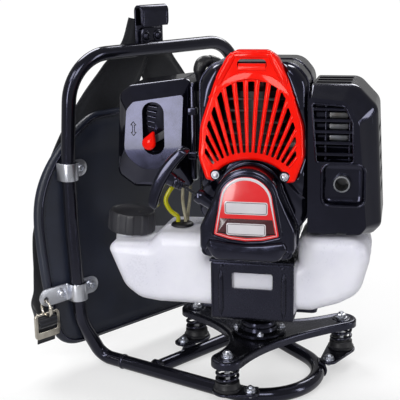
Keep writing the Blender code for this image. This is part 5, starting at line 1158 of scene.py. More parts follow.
def build_cradle():
    """Folded sheet round the tank's waist, with a sight window, pressed ribs, a base wing and rivets."""
    (y0, y1), (z0, z1) = CRADLE_Y, CRADLE_Z
    middle = outline(box_corners(y0 + 1.5, y1 - 1.5, z0 + 1.5, z1 - 1.5), 4.0, 0, 8)
    path = np.column_stack([np.zeros(len(middle)), middle])
    band = sweep(path, rounded_box(3.0, 2 * CRADLE_HALF, 0.8), X_AXIS, ring=True)
    window = box(-22, 22, 123, 141, 2.5, y0 - 6, y0 + 6, 0.1)
    piece("cradle_band", [band], "sheet_paint", "engine", ["tank_cradle"], tools=[window], bevel=0.5)
    swell = np.array([0.3, 0.7, 1] + [1] * 8 + [1, 0.7, 0.3])[:, None] * (1, 1)
    wing = [(-66, -14), (66, -14), (66, 30), (43, 45), (-43, 45), (-66, 30)]
    rivet = [(0, -0.2), (2.4, -0.2), (2.2, 0.6), (1.4, 1.1), (0, 1.3)]
    reach = CRADLE_HALF + 1.5
    trim = [box(-reach, reach, -52.5, -20, 1.5, z1 - 1.5, z1 + 0.2, 0.4, level_plan),
            slab(wing, 6, z0, z0 + 3, 0.8, level_plan),
            bar((-reach, -51.0, z1 - 0.6), (reach, -51.0, z1 - 0.6), circle(1.7, 16), count=20)]
    for side in (-1, 1):
        rib, fold = side * 34, side * 43.2
        trim += [bar((rib, y0 - 0.2, 92), (rib, y0 - 0.2, 143), circle(2.8, 16), Y_AXIS, 14, swell),
                 bar((fold, y0 + 0.8, 90), (fold, y0 + 0.8, 151), circle(1.6, 14), Y_AXIS, 10),
                 turned(rivet, (side * 33, y0, 147.8), FORWARD, 28)]
    piece("cradle_trim", trim, "sheet_paint", "engine")


def build_post():
    """Turned swivel post: a nut below the plate, a ground shaft, grooved collars and a flange."""
    top = CRADLE_Z[0] - 0.3
    profile = [(0, 42), (6.4, 42), (7, 42.6), (7, 43.5), (10.5, 43.5), (10.5, 52.6), (8, 52.6), (8, 73.6),
               (12.2, 73.6), (13, 74.2), (13, 76.4), (12, 77), (11.6, 78.4), (12, 79.8), (13, 80.4),
               (13, 82.4), (14, 83.2), (21.4, 83.2), (22, 83.8), (22, top), (0, top)]
    piece("post", [turned(profile, count=72)], "sheet_paint", "engine", ["swivel_post"], hub)


# Cords

HOSES = (("return", "yellow_tube", 2.6,
          ((-89, -12, 184), (-89.3, -12, 190), (-97, -14, 197), (-102, -14, 208),
                                         (-98, -11, 219), (-91, -8, 227), (-89, -8, 232.4))),
         ("supply", "clear_tube", 1.9,
          ((-81, -10.5, 184), (-81, -10.5, 190), (-83.5, -11, 208), (-83, -10, 222),
                                        (-82.5, -9, 232.6))),
         ("purge", "clear_tube", 1.9, ((-80, -3, 184), (-80, -3, 190), (-77, -2, 212), (-76.5, -2, 226),
                                       (-76.5, -2, 232.6))))
LEAD = ((4, 6, 348.9), (-8, 7, 348.7), (-14, 22, 345.3), (-13, 34, 331.3), (-8, 43, 302), (-8, 43, 288.5))
PULL_TILT = math.radians(30)
PULL = np.array((-math.cos(PULL_TILT), 0.0, math.sin(PULL_TILT)))
ROPE_START = np.array((-9.0, -68.0, CRANK_Z - 18 * math.cos(PULL_TILT)))
ROPE_LENGTH, ROPE_SIDES = 69.0, 16


def add_cord(name, path, radius, finish, body, node):
    """A cord of its own length: a round section carried along its route."""
    section = circle(radius, ROPE_SIDES)
    made = piece(name, [sweep(path, section, (0.3, 1, 0.2))], finish, body, [node], sharp=60)
    return made


def build_hoses():
    """Fuel lines from the grommet to the carburettor, each along a smooth curve."""
    for name, finish, radius, knots in HOSES:
        count = round(along(np.array(knots, float))[-1] * 0.4)
        add_cord(f"fuel_line_{name}", spline(knots, count), radius, finish, "engine", f"fuel_hose_{name}")
    profile = [(0, -12), (6.6, -12), (6.6, 0), (12.4, 0), (12.5, 0.8), (11.6, 2.4), (10.4, 3.1), (9.0, 3.6),
               (4, 4.0), (0, 4.1)]
    piece("grommet", [turned(profile, (-85, -8, 179.3), count=56)], "rubber", "engine", ["tank_grommet"])


def build_grip(grip):
    """Starter grip: a bowed bar whose section is a rounded box that shrinks to its ends, on a ribbed neck."""
    neck = ROPE_START + PULL * 69.3
    across = np.array((PULL[2], 0, -PULL[0]))
    s = np.linspace(-1, 1, 71)
    spine = neck + PULL * 23 + across * (s * grip / 2)[:, None] - PULL * (7 * s ** 2)[:, None]
    end = np.sqrt(np.clip(1 - np.abs(s) ** 26, 0.0, 1))
    wide, deep = (6.5 - 1.4 * np.abs(s) ** 2.5) * end, 11 * (1 - 0.10 * s ** 2) * end
    u, v = square_circle(40, 0.42)
    points = spine[:, None] + PULL * (u * wide[:, None])[..., None] \
        + np.array(Y_AXIS) * (v * deep[:, None])[..., None]
    ribbed = [(0, 0), (0, 20), (8.4, 19), (7.4, 15), (6.6, 10.4), (6.0, 9.8), (6.5, 9.2), (6.3, 6.8),
              (5.6, 6.2), (6.2, 5.6), (6.0, 3.4), (5.2, 2.8), (5.8, 2.2), (5.6, 0.4), (5.0, 0)]
    handle = piece("grip", [surface(points, caps="fan"), turned(ribbed, neck, PULL, 40)], "black_abs", "pull",
                   ["starter_handle"], sharp=50)
    path = np.linspace(ROPE_START, ROPE_START + PULL * ROPE_LENGTH, 60)
    rope = add_cord("pull_rope", path, 1.5, "webbing", "pull", "starter_rope")
    index = np.arange(len(rope.data.vertices))
    cloth_map(rope, np.stack([index % ROPE_SIDES * 0.6, index // ROPE_SIDES * 1.2], 1))


# Starter

ARCH_Z, CHIN_RADII = 234.0, (3, 60, 60, 60, 3, 7, 12, 12, 7)
STARTER_SCREWS = ((-41, 176), (41, 176))
BADGE_Y = -85.8


def starter_corners():
    """The starter's front view: an arch of dense points, and the corners of its foot."""
    arc = arc_points((0, ARCH_Z - 4.5), 33.5, 0.06 * math.pi, 0.94 * math.pi, 26)
    foot = [(-40, 219), (-49, 200), (-49, 178), (-42, 168), (42, 168), (49, 178), (49, 200), (40, 219)]
    return np.vstack([arc, foot]), np.array([0.0] * 26 + [16, 14, 8, 7, 7, 8, 14, 16])


def badge_line():
    """The badge's edge: an arch over a bowed foot."""
    arc = arc_points((0, 229), (27, 26), 0.02 * math.pi, 0.98 * math.pi, 40)
    foot = [(-33.5, 194), (-17, 189.5), (0, 188), (17, 189.5), (33.5, 194)]
    return softened(np.vstack([arc, foot]), 1.3, 200)


def build_starter():
    """Recoil starter cover: an arched tray with a rim for its badge, a rope eyelet, pockets and a chin."""
    corners, radii = starter_corners()
    eyelet = [(3.0, 24), (6.5, 24), (6.5, 44), (7.6, 46.4), (7.8, 50), (7.0, 52.2), (5.4, 53), (3.8, 52),
              (3.0, 49)]
    parts = [tray(corners, radii, (-50.3, -84.0), 4.5, 2.5), bead(offset(badge_line(), -2.4), -84.0, 1.5),
             bead(even(outline(corners, radii, -0.4), 220), -56.5, 1.1, 10),
             turned(eyelet, ROPE_START, PULL, 48, True)]
    pocket = [(0, -8), (6, -8), (6, 0.6), (5.4, 1.2), (4.2, 1.2), (4.0, 0.4), (0, 0.4)]
    parts += [turned(pocket, (x, -82.5, z), FORWARD, 36) for x, z in STARTER_SCREWS]
    chin = [(-38, 189), (-17, 185.6), (0, 184.4), (17, 185.6), (38, 189), (43, 181), (33, 166.5),
            (-33, 166.5), (-43, 181)]
    rows = [(0, -80.0), (0, -84.0), (0.5, -86.0), (1.8, -87.6), (4.0, -88.6), (6.6, -89.0)]
    parts.append(surface([upright(outline(chin, CHIN_RADII, r), y) for r, y in rows], caps="flat"))
    piece("starter_cover", parts, "black_abs", "engine", ["starter_housing"])
    heads = [screw_head((x, -82.8, z), FORWARD, 3.4, 1.6) for x, z in STARTER_SCREWS]
    piece("starter_screws", heads, "black_abs", "engine")


def build_badge():
    """Plain badge: red ground, a pale border line, a dark lower band and two blank pale fields."""
    line = badge_line()
    piece("badge_ground", [plate(line, BADGE_Y, -84.3, 0.5)], "badge_red", "engine", ["badge_plate"])
    border = upright(offset(line, 1.9), BADGE_Y - 0.05)
    narrow = np.clip((border[:, 2] - 188) / 64, 0.15, 1)
    scale = np.stack([narrow, narrow ** 0], 1)
    silver = [sweep(border, rounded_box(3.0, 0.5, 0.2, 2), Y_AXIS, scale, ring=True)]
    frames = []
    for half, low, high, radius, lift in ((22, 216, 229.4, 2.2, 0.35), (20.2, 194.2, 206.8, 2.2, 0.45)):
        silver.append(box(-half, half, low, high, radius, BADGE_Y - lift, BADGE_Y + 0.2, 0.15))
        inner = outline(box_corners(1.2 - half, half - 1.2, low + 1.2, high - 1.2), 1.6)
        frames.append(bead(even(inner, 90), BADGE_Y - lift, 0.28, 6))
    piece("badge_lines", silver, "badge_silver", "engine")
    band = offset(line, 3.4)
    band = even(np.column_stack([band[:, 0], np.minimum(band[:, 1], 211.5)]), 160)
    piece("badge_band", [plate(band, BADGE_Y - 0.2, BADGE_Y + 0.2, 0.1)], "badge_maroon", "engine")
    piece("badge_fields", frames, "badge_maroon", "engine")


# Cylinder cover

COVER_LEVELS, COVER_LEAN, LEAN_FROM = (-37.0, -62.0), 0.14, 260.0
GRILLE_Z, FAN_PITCH, BROW_Z = 207.0, math.radians(4.9), 348.0
SLOT_NEAR, SLOT_FAR, BAR_SHARE = 0.24, 0.285, 0.20


def cover_corners():
    """The cover's front view: two mirrored flanks, and a dense arch above the starter."""
    right = [(46, 245), (54.5, 268), (53, 300), (38, 347), (26, 371), (16, 377)]
    arch = arc_points((0, ARCH_Z + 10), (37.5, 22.5), math.pi, 0, 30)
    left = [(-x, z) for x, z in right]
    radii = [5, 24, 40, 80, 14, 9]
    return np.vstack([left, right[::-1], arch[::-1]]), np.array(radii + radii[::-1] + [0.0] * 30)


def ray_reach(shape, turn, start):
    """Where a ray from the fan's middle leaves a closed outline: the nearest crossing past a start."""
    direction = np.array((math.sin(turn), math.cos(turn)))
    a = shape - (0, GRILLE_Z)
    b = np.roll(a, -1, 0)
    side_a, side_b = (p[:, 0] * direction[1] - p[:, 1] * direction[0] for p in (a, b))
    hit = side_a * side_b < 0
    share = side_a[hit] / (side_a[hit] - side_b[hit])
    reach = (a[hit] + (b[hit] - a[hit]) * share[:, None]) @ direction
    return min(reach[reach > start], default=start)


def slot_start(turn):
    """Where a slot starts on its ray: an inner arc that nears the fan's middle sideways."""
    return 67.5 - 2 * turn ** 2


def slot_outline(inside, turn):
    """A wedge between two rays from the fan's middle, which the frame's outline cuts off. Its sides are a
    share of the fan's pitch away from the slot's own ray. Nothing is returned where a side is too short."""
    inner, corners = slot_start(turn), []
    for share in (-1, 1):
        near, far = turn + share * SLOT_NEAR * FAN_PITCH, turn + share * SLOT_FAR * FAN_PITCH
        reach = ray_reach(inside, far, inner + 2)
        if reach < inner + 5:
            return None
        rays = ((near, inner), (far, reach))
        corners.append([(r * math.sin(a), GRILLE_Z + r * math.cos(a)) for a, r in rays])
    (a, b), (c, d) = corners
    return outline([a, b, d, c], (1.2, 1.0, 1.0, 1.2), 0, 5)


def cover_front(z):
    """Where the cover's face lies at a height: it leans back towards its top."""
    return COVER_LEVELS[1] + COVER_LEAN * (np.asarray(z, float) - LEAN_FROM)


def fan_bars(inside, slots):
    """Raised bars between the slots: flat rounds that widen along their rays and fall at both their ends."""
    bars = []
    for k in range(slots + 1):
        turn = FAN_PITCH * (k - slots / 2)
        inner = slot_start(turn)
        outer = ray_reach(inside, turn, inner + 4)
        if outer - inner > 6:
            away = np.linspace(inner - 0.5, outer + 1.5, 30)
            z = GRILLE_Z + away * math.cos(turn)
            width = away * FAN_PITCH * BAR_SHARE * eased_ends(30, 0.55, 1.2)
            scale = np.stack([width, 1.9 * eased_ends(30, 0.6, 1.5)], 1)
            bars.append(sweep(upright(np.stack([away * math.sin(turn), z], 1), cover_front(z) + 0.5),
                              circle(1, 16), Y_AXIS, scale))
    return bars


def build_cover(slots, wall):
    """Cylinder cover: a leaning tray with a fan of tapered slots, a moulded handle and a raised brow."""
    corners, radii = cover_corners()
    body = mesh_object("cylinder_cowl",
                       [tray(corners, radii, COVER_LEVELS, 4.0, wall, 8, (COVER_LEAN, LEAN_FROM))])
    inside = outline(corners, radii, 7.0, 8)
    inside[:, 1] = np.minimum(inside[:, 1], BROW_Z - 0.012 * inside[:, 0] ** 2)
    shapes = [slot_outline(inside, FAN_PITCH * (k - (slots - 1) / 2)) for k in range(slots)]
    tools = [surface([upright(s, y) for y in (-82, -42)], caps="flat") for s in shapes if s is not None]
    carve(body, tools + [box(-15, 15, 357, 368, 5, -70, -30, 0.1)])
    finish_piece(body, "red_abs", "engine", ["cylinder_cover"], bevel=0.8, segments=3)
    trim = fan_bars(inside, slots)
    z = np.array((341, 350, 360, 368, 373.5))
    swell = np.interp(np.linspace(0, 1, 40), (0, 0.2, 0.7, 0.95, 1), (0.45, 1, 1, 0.8, 0.3))
    for side in (-1, 1):
        cheek = np.stack([side * np.array((35, 32, 26.5, 22, 18.5)),
                          cover_front(z) + (1.2, 0.2, 0.2, 0.4, 1.4), z], 1)
        trim.append(sweep(spline(cheek, 40), circle(4.2, 20), Y_AXIS, swell[:, None] * (1, 0.85)))
    x = np.linspace(-19, 19, 24)
    trim.append(sweep(upright(np.stack([x, x * 0 + 371.6], 1), cover_front(372) + 0.8 + 0.004 * x * x),
                      circle(3.1, 20)))
    x = np.linspace(-43, 43, 80)
    z = BROW_Z + 3.0 - 0.0125 * x ** 2
    brow = upright(np.stack([x, z], 1), cover_front(z) + 0.2 + 0.0008 * x ** 2)
    ledge = outline([(4.6, 1.2), (-2.4, 1.2), (-2.4, -2.9), (-1.9, -3.3), (4.2, -0.3)],
                    (0.3, 0.3, 0.4, 0.4, 0.5), 0, 3)
    trim.append(sweep(brow, ledge, Y_AXIS, (1 - 0.5 * (np.abs(x) / 43) ** 4)[:, None] * (1, 0.9)))
    lip = cover_front(359) + 2
    trim.append(bar((-14, lip, 359), (14, lip, 359), ledge, Y_AXIS))
    piece("cowl_brow", trim, "red_abs", "engine", sharp=60)
    boss = [(0, -9), (5.6, -9), (5.6, 0.4), (5.0, 1.0), (0, 1.0)]
    places = (-35.7, 35.7)
    piece("cowl_bosses", [turned(boss, (x, -62.6, 251), FORWARD, 40) for x in places], "black_abs", "engine")
    heads = [screw_head((x, -63.4, 251), FORWARD, 3.2, 2.4, 4.2) for x in places]
    piece("cowl_screws", heads, "zinc", "engine")


# Fan shroud and clutch

def reach_by_angle(corners, radii, centre, angles):
    """An outline's distance from a centre, as a function of the angle about it."""
    away = even(outline(corners, radii, 0, 8), 600) - centre
    found = np.arctan2(away[:, 1], away[:, 0])
    order = np.argsort(found)
    return np.interp(angles, found[order], np.linalg.norm(away, axis=1)[order], period=TAU)


def shroud_band(corners, radii):
    """The rolled band between the cylinder cover's wall and the shroud: rows blended by angle."""
    centre, angles = np.array((0.0, 288.0)), np.linspace(0, TAU, 241)[:-1]
    wide = np.maximum(reach_by_angle(corners, radii, centre, angles) - 0.6, 1.0)
    inner = np.minimum(reach_by_angle(*cover_corners(), centre, angles) + 0.4, wide)
    raised = 10.5 * np.clip((wide - inner) / 9, 0, 1)
    around = np.stack([np.cos(angles), np.sin(angles)], 1)
    roll = ((0, 0.0), (0, 0.86), (0.06, 0.97), (0.16, 1.0), (0.4, 0.97), (0.62, 0.88), (0.8, 0.66),
            (0.92, 0.38), (1.0, 0.0))
    return surface([upright(centre + around * (inner + (wide - inner) * share)[:, None],
                            -37.0 - raised * height)
                    for share, height in roll], ring=True)


def build_shroud():
    """Cowl round the cylinder: a deep tray with a seam bead, a rolled band and a ribbed rear panel."""
    half = [(42, 363), (56.3, 346), (57, 204), (45, 187), (43, 164)]
    corners = np.array(half + [(-x, z) for x, z in half[::-1]])
    radii = np.array([20, 20, 14, 12, 3, 3, 12, 14, 20, 20])
    seam = even(outline(corners, radii, -0.1, 8), 260)
    parts = [tray(corners, radii, (-36.7, 53.7), 8.0, 2.5, 8), bead(seam, -35.2, 1.3, 10),
             bead(seam, 4.0, 0.9, 10), shroud_band(corners, radii), box(-26, 26, 176, 186, 3, 53, 55.0, 0.8)]
    parts += [bar((2 * k - 30, 54.0, 262 + 15 * k), (30 - 2 * k, 54.0, 262 + 15 * k), circle(1.5, 10))
              for k in range(5)]
    piece("shroud", parts, "black_abs", "engine", ["fan_shroud"])


def build_boot():
    """Rubber boot over the ignition lead: a swept knob and elbow whose radius follows a table of lengths."""
    knots = [(-38, 14, 350), (-46, 9, 357), (-54, 2, 360), (-60, -5, 359), (-63, -8, 352), (-63, -6, 343),
             (-63, 0, 330)]
    size = np.interp(np.linspace(0, 1, 70), (0, 0.3, 0.42, 0.55, 0.68, 0.76, 0.86, 1),
                     (5.0, 5.8, 6.6, 7.0, 6.4, 4.8, 4.2, 4.0))[:, None]
    path, collar = spline(knots, 70), slice(12, 24)
    parts = [sweep(path, circle(1, 28), (0.3, 1, 0.2), size * (1, 0.9)),
             sweep(path[collar], circle(1, 28), (0.3, 1, 0.2), (size[collar] + 0.9) * (1, 0.9))]
    piece("plug_boot", parts, "rubber", "engine")


def around_crank(radius, turn, y):
    """A place about the crankshaft at a radius and an angle."""
    return (radius * math.cos(turn), y, CRANK_Z + radius * math.sin(turn))


def build_clutch():
    """Die-cast clutch case: a ribbed cone between its flange and its nose, with vents and cap screws."""
    profile = [(30.0, 54.3), (45.4, 54.3), (46, 54.9), (46, 56.7), (45.4, 57.3), (38.4, 58.4), (36, 62.3),
               (33.4, 68), (30, 76), (27, 78.6), (26.4, 79.4), (26, 80.4), (26, 85.4), (25.4, 86), (10.4, 86),
               (9.8, 85.4), (9.8, 74), (28.2, 70)]
    ribbed = np.zeros(len(profile))
    ribbed[5:9] = (0.3, 1, 1, 0.4)

    def rib(angle, row):
        return 1 + 0.035 * ribbed[row] * np.clip(np.cos(12 * angle) * 3 - 1.6, 0, 1)
    body = turned(profile, (0, 0, CRANK_Z), Y_AXIS, 144, True, rib)
    vents = []
    for turn in TAU * (np.arange(12) + 0.5) / 12:
        middle, out = np.array(around_crank(34, turn, 66)), np.array((math.cos(turn), 0.4, math.sin(turn)))
        vents.append(bar(middle - out * 4.5, middle + out * 12, rounded_box(3.6, 8.0, 1.7), Y_AXIS, 4,
                         caps="flat"))
    piece("clutch_housing", [body], "cast", "engine", ["clutch_case"], tools=vents, bevel=0.4)
    cap_screw = [(0, -0.6), (3.4, -0.6), (3.4, 3.4), (3.0, 3.9), (1.8, 3.9), (1.7, 1.8), (0, 1.8)]
    washer = [(0, 0.3), (3.6, 0.3), (3.6, 0.9), (2.6, 0.9)]
    quarters = QUARTER * np.arange(4)
    screws = [turned(cap_screw, around_crank(42, turn + QUARTER / 2, 57.2), Y_AXIS, 32) for turn in quarters]
    screws += [turned(washer, around_crank(18, turn, 85.4), Y_AXIS, 24) for turn in quarters]
    piece("clutch_screws", screws, "zinc", "engine")


# Silencer cover

def between(first, last, share):
    """Values between two sets, at a share of the way."""
    first, last = np.asarray(first, float), np.asarray(last, float)
    return first + (last - first) * share


def faceted_rows(body, body_radii, face, face_radii, levels, turn_in):
    """Rows from a deep body to a smaller face: straight walls, a soft shoulder, a chamfer and a soft edge."""
    start, shoulder, end = levels
    rows = [(body, body_radii, start), (body, body_radii, shoulder + turn_in)]
    for share in (0.0, 0.06, 0.2, 0.5, 0.8, 0.93, 0.98, 1.0):
        ease = share + 0.10 * math.sin(TAU * share) * (1 - share) if share < 0.5 else share
        rows.append((between(body, face, max(0.0, share - 0.02)), between(body_radii, face_radii, share),
                     shoulder + (end - shoulder) * ease))
    return rows


LOUVRE_WINDOW = np.array(((61, 324.5), (94, 321.5), (102, 304), (104, 263.5), (66, 263.5)), float)
SILENCER_BODY = ((57.4, 184), (124, 184), (133, 194), (126, 318), (104, 341), (57.4, 341))
SILENCER_FACE = ((57.6, 188), (112, 188), (118, 196), (108, 304), (95, 326), (57.6, 330))
DISH = (72, 116, 218, 262)


def build_silencer_cover():
    """Silencer cover: a body that is chamfered towards its front, with louvres, vents and a dished outlet."""
    rows = faceted_rows(SILENCER_BODY, (4, 9, 10, 16, 16, 4), SILENCER_FACE, (3, 6, 6, 10, 10, 3),
                        (46.0, -22.0, -46.0), 6.0)
    cowl = mesh_object("silencer_cowl", loft(rows, 2.2))
    tools = [slab(LOUVRE_WINDOW, 3, -60, -34, 0.1), box(*DISH, 8, -60, -34, 0.1)]
    tools += [box(62, 98, y, y + 13, 2, 325, 350, 0.1, level_plan) for y in (-18, 1, 20)]
    tools += [bar((110, 9, z), (145, 9, z), rounded_box(46, 6, 2.5), count=3, caps="flat")
              for z in range(229, 309, 16)]
    carve(cowl, tools + [box(88, 98, 184, 191, 1.0, -60, -38, 0.1)])
    finish_piece(cowl, "black_abs", "engine", ["muffler_cover"], bevel=0.8)
    louvre = outline(box_corners(-3.8, 3.8, -1.8, 1.8), 1.2)
    trim = [bar((62, -41.5, 270.5 + 11.6 * k), (105 - 1.4 * k, -41.5, 270.5 + 11.6 * k), louvre, (0, 0.6, 1))
            for k in range(5)]
    trim += [bar((x, -39.5, 262), (x, -39.5, 322), rounded_box(2.4, 5.0, 0.8), Y_AXIS, 10) for x in (75, 99)]
    trim += [bead(even(outline(box_corners(*DISH), 8), 120), -46.0, 1.5),
             bead(even(outline(LOUVRE_WINDOW, 3), 120), -46.0, 1.1, 10)]
    levels = ((0, -45.5), (0.4, -41), (1.4, -37), (4.0, -35.0), (8.0, -34.6))
    dish = [upright(outline(box_corners(*DISH), 8.5, r, 8), y) for r, y in levels]
    angle = np.arctan2(dish[-1][:, 2] - 240, dish[-1][:, 0] - 94)
    hole = np.stack([92 + 9.4 * np.cos(angle), 240 + 9.4 * np.sin(angle)], 1)
    # Painted shade: the last bar is a thin black sheet inside the side vents, which keeps them dark where
    # they would show through.
    trim += [surface(dish + [upright(hole, -34.6), upright(hole, -33.0)]),
             box(60, 107, 261, 326, 3, -34.5, -33.5, 0.3),
             bar((121, 6.5, 220), (121, 6.5, 308), rounded_box(1.5, 75, 0.5), Y_AXIS, 4)]
    piece("silencer_louvres", trim, "black_abs", "engine", sharp=50)
    shield = [box(78, 97, z - 3.4, z + 3.4, 2.0, -36.4, -34.6, 0.5) for z in (288.0, 299.6, 311.0)]
    piece("silencer_shield", shield, "hot", "engine")
    pipe = [(7.0, -41.6), (8.4, -41.6), (9.0, -41.0), (9.0, -30), (7.0, -30)]
    piece("outlet_pipe", [turned(pipe, (92, 0, 240), Y_AXIS, 48, True)], "steel", "engine")


# Air cleaner

AIR_BODY = ((-70, 226), (-70, 345), (-138, 336), (-150, 326), (-155, 238), (-135, 224))
AIR_FACE = ((-81, 249), (-76, 328), (-131, 319.5), (-138.5, 311), (-143, 264), (-123, 247))
CHOKE_SLOT = (-121.5, -97.5, 263, 320)


def build_air_cleaner():
    """Filter cover: a body chamfered to its front panel, with the choke's slot and well and a plain arrow."""
    rows = faceted_rows(AIR_BODY, (6, 8, 10, 10, 12, 10), AIR_FACE, (3, 3, 7, 9, 20, 20),
                        (38.0, -16.0, -30.0), 3.0)
    cowl = mesh_object("filter_cowl", loft(rows, 2.2))
    slot = box_corners(*CHOKE_SLOT)
    carve(cowl, [slab(slot, 11.8, -50, -24, 0.1, steps=12)])
    finish_piece(cowl, "black_abs", "engine", ["air_cleaner_cover"], bevel=0.8, segments=3)
    levels = ((-1.6, -28.6), (-0.2, -29.2), (0.1, -27.5), (0.3, -18.0), (2.0, -16.4))
    well = [upright(outline(slot, 11.8, r, 12), y) for r, y in levels]
    trim = [surface(well), lid(well[-1])]
    trim += [bar((-119, -17, 292 + 5.5 * k), (k - 112, -17, 290 + 5.5 * k), circle(1.2, 8), count=6)
             for k in range(5)]
    trim += [box(-70.5, -65.5, 234, 340, 2.2, -20, 36, 1.5),
             bar((-68, -21, 238), (-68, -21, 336), rounded_box(5, 4, 1.5), Y_AXIS, 20)]
    trim += [box(-73, -63, z - 4, z + 4, 1.8, -26, -18, 1.2) for z in (262, 310)]
    piece("filter_trim", trim, "black_abs", "engine", sharp=50)
    right = [(3.4, 4.6), (1.3, 4.6), (1.3, -4.6), (3.4, -4.6)]
    arrow = np.array([(0, 9), *right, (0, -9), *[(-x, z) for x, z in right[::-1]]])
    line = even(arrow * 0.85 + (-131.5, 291), 160)
    piece("choke_arrow", [bead(line, -30.1, 0.42, 8)], "grey_nylon", "engine")


def build_choke():
    """Choke lever behind the panel, and its drop-shaped knob: a crowned plate on a stem through the slot."""
    knob, pivot = np.array((-114.0, 276.0)), np.array((-80.0, 291.0))
    arm = plate(capsule(pivot - (9, 0), knob, 4.0, 3.5), -26.7, -24.7, 0.5)
    piece("choke_arm", [arm], "grey_nylon", "choke")
    stem = turned([(0, -34), (2.4, -34), (2.4, -25.5), (0, -25.5)], (knob[0], 0, knob[1]), Y_AXIS, 24)
    drop = softened(capsule(knob, knob + (5.0, 11.5), 7.5, 1.6, 30), 0.7, 120)
    rows = [(1.2, -31.0), (0.3, -31.4), (0, -32.2), (0, -33.6), (0.5, -34.8), (1.6, -35.7)]
    skins = [upright(offset(drop, r), y) for r, y in rows]
    middle = drop.mean(0)
    skins += [upright(middle + (offset(drop, 1.6) - middle) * s, -35.7 - 0.9 * (1 - s * s))
              for s in (0.8, 0.6, 0.4, 0.2)]
    piece("choke_knob", [stem, surface(skins, caps="flat")], "red_abs", "choke", ["choke_lever"], sharp=50)


# Pieces kept from the frame, each with its finish and the width of its softened edges

# The cylinder's near-black finish is painted shade for the inside of the cover.
KEPT = (("swivel_bearing", "steel", 0.4), ("crankcase", "cast", 1.2), ("cylinder", "shade_dark_cast", 0.5),
        ("muffler", "hot", 1.0), ("air_cleaner_base", "black_abs", 0.6), ("filter_foam", "foam", 0.0),
        ("carburettor", "cast", 0.8), ("spark_plug", "steel", 0.3), ("ignition_coil", "black_abs", 0.8),
        ("crankshaft", "steel", 0.3), ("fan_flywheel", "cast", 0.3), ("clutch_drum", "steel", 0.3),
        ("starter_reel", "grey_nylon", 0.3))


def finish_kept():
    """Inner pieces keep the frame's own solids, with welded seams, softened edges and their finishes."""
    for name, finish, width in KEPT:
        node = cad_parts[name]
        node.data.materials.clear()
        node.data.materials.append(material(finish))
        if width:
            node.modifiers.new("seams", "WELD").merge_threshold = 2e-6
            round_edges(node, width, 30)
    add_cord("ignition_lead", spline(LEAD, 60), 3.0, "rubber", "engine", "plug_lead")


# Stage

CAMERA_TURN, CAMERA_RISE, CAMERA_ROLL = math.radians(-43.43), math.radians(14.71), math.radians(-1.0)
CAMERA_TARGET, CAMERA_DISTANCE, CAMERA_LENS, SENSOR = (-19.96, 73.12, 200.0), 1060.14, 83.66, 36.0


def build_camera():
    """Camera on the photograph's line of sight: an azimuth, an elevation and a small roll."""
    a, e, r = CAMERA_TURN, CAMERA_RISE, CAMERA_ROLL
    back = np.array((math.sin(a) * math.cos(e), -math.cos(a) * math.cos(e), math.sin(e)))
    right = unit(np.cross(Z_AXIS, back))
    up = np.cross(back, right)
    camera = bpy.data.objects.new("camera", bpy.data.cameras.new("camera"))
    camera.data.lens, camera.data.sensor_width = CAMERA_LENS, SENSOR
    matrix = np.eye(4)
    matrix[:3, 0] = math.cos(r) * right + math.sin(r) * up
    matrix[:3, 1] = -math.sin(r) * right + math.cos(r) * up
    matrix[:3, 2] = back
    matrix[:3, 3] = hub(CAMERA_TARGET) + back * CAMERA_DISTANCE * MM
    camera.matrix_world = Matrix(matrix.tolist())
    bpy.context.scene.collection.objects.link(camera)
    bpy.context.scene.camera = camera


# Each lamp's name, place, width, height and power
LAMPS = (("key", (-1.1, -1.5, 1.5), 0.9, 0.8, 14.0), ("panel", (-1.30, -0.365, 0.48), 0.27, 0.94, 6.5),
         ("brow", (-1.37, -0.16, 1.35), 0.8, 0.5, 7.0), ("rim", (1.5, 0.5, 1.5), 0.7, 1.2, 16.0),
         ("top", (0.2, 1.1, 1.7), 1.0, 0.8, 20.0), ("side", (0.9, -1.9, 0.6), 0.35, 1.2, 8.0))
AIM = Vector((0.0, 0.0, 0.2))
FLOOR_HALF = 30.0
WHITE = (1, 1, 1, 1)


def seen_level(tree, lit, seen):
    """A strength that the camera sees brighter than the pieces do."""
    ray = add_node(tree, "LightPath", {}, "Is Camera Ray")
    return add_node(tree, "MapRange", {"Value": ray, "To Min": lit, "To Max": seen})


def build_floor():
    """Pale paper that fades to an even white with its distance."""
    corners = [(x * FLOOR_HALF, y * FLOOR_HALF, 0) for x, y in ((-1, -1), (1, -1), (1, 1), (-1, 1))]
    mesh = bpy.data.meshes.new("floor")
    mesh.from_pydata(corners, [], [(0, 1, 2, 3)])
    floor = bpy.data.objects.new("floor", mesh)
    bpy.context.scene.collection.objects.link(floor)
    paper, tree, shader = start_finish("white_studio_paper",
                                       {"Base Color": linear("#f4f4f4"), "Roughness": 0.9,
                                                              "Specular IOR Level": 0.2})
    place = add_node(tree, "TexCoord", {}, "Object")
    away = add_node(tree, "VectorMath", {0: place}, "Value", operation="LENGTH")
    fade = add_node(tree, "MapRange", {"Value": away, "From Min": 0.2, "From Max": 0.8, "To Min": 0.5},
                    interpolation_type="SMOOTHSTEP")
    glow = add_node(tree, "Emission", {"Color": WHITE, "Strength": seen_level(tree, 0.28, 1.02)})
    mixed = add_node(tree, "MixShader", {0: fade, 1: shader.outputs[0], 2: glow})
    tree.links.new(mixed, tree.nodes["Material Output"].inputs[0])
    mesh.materials.append(paper)


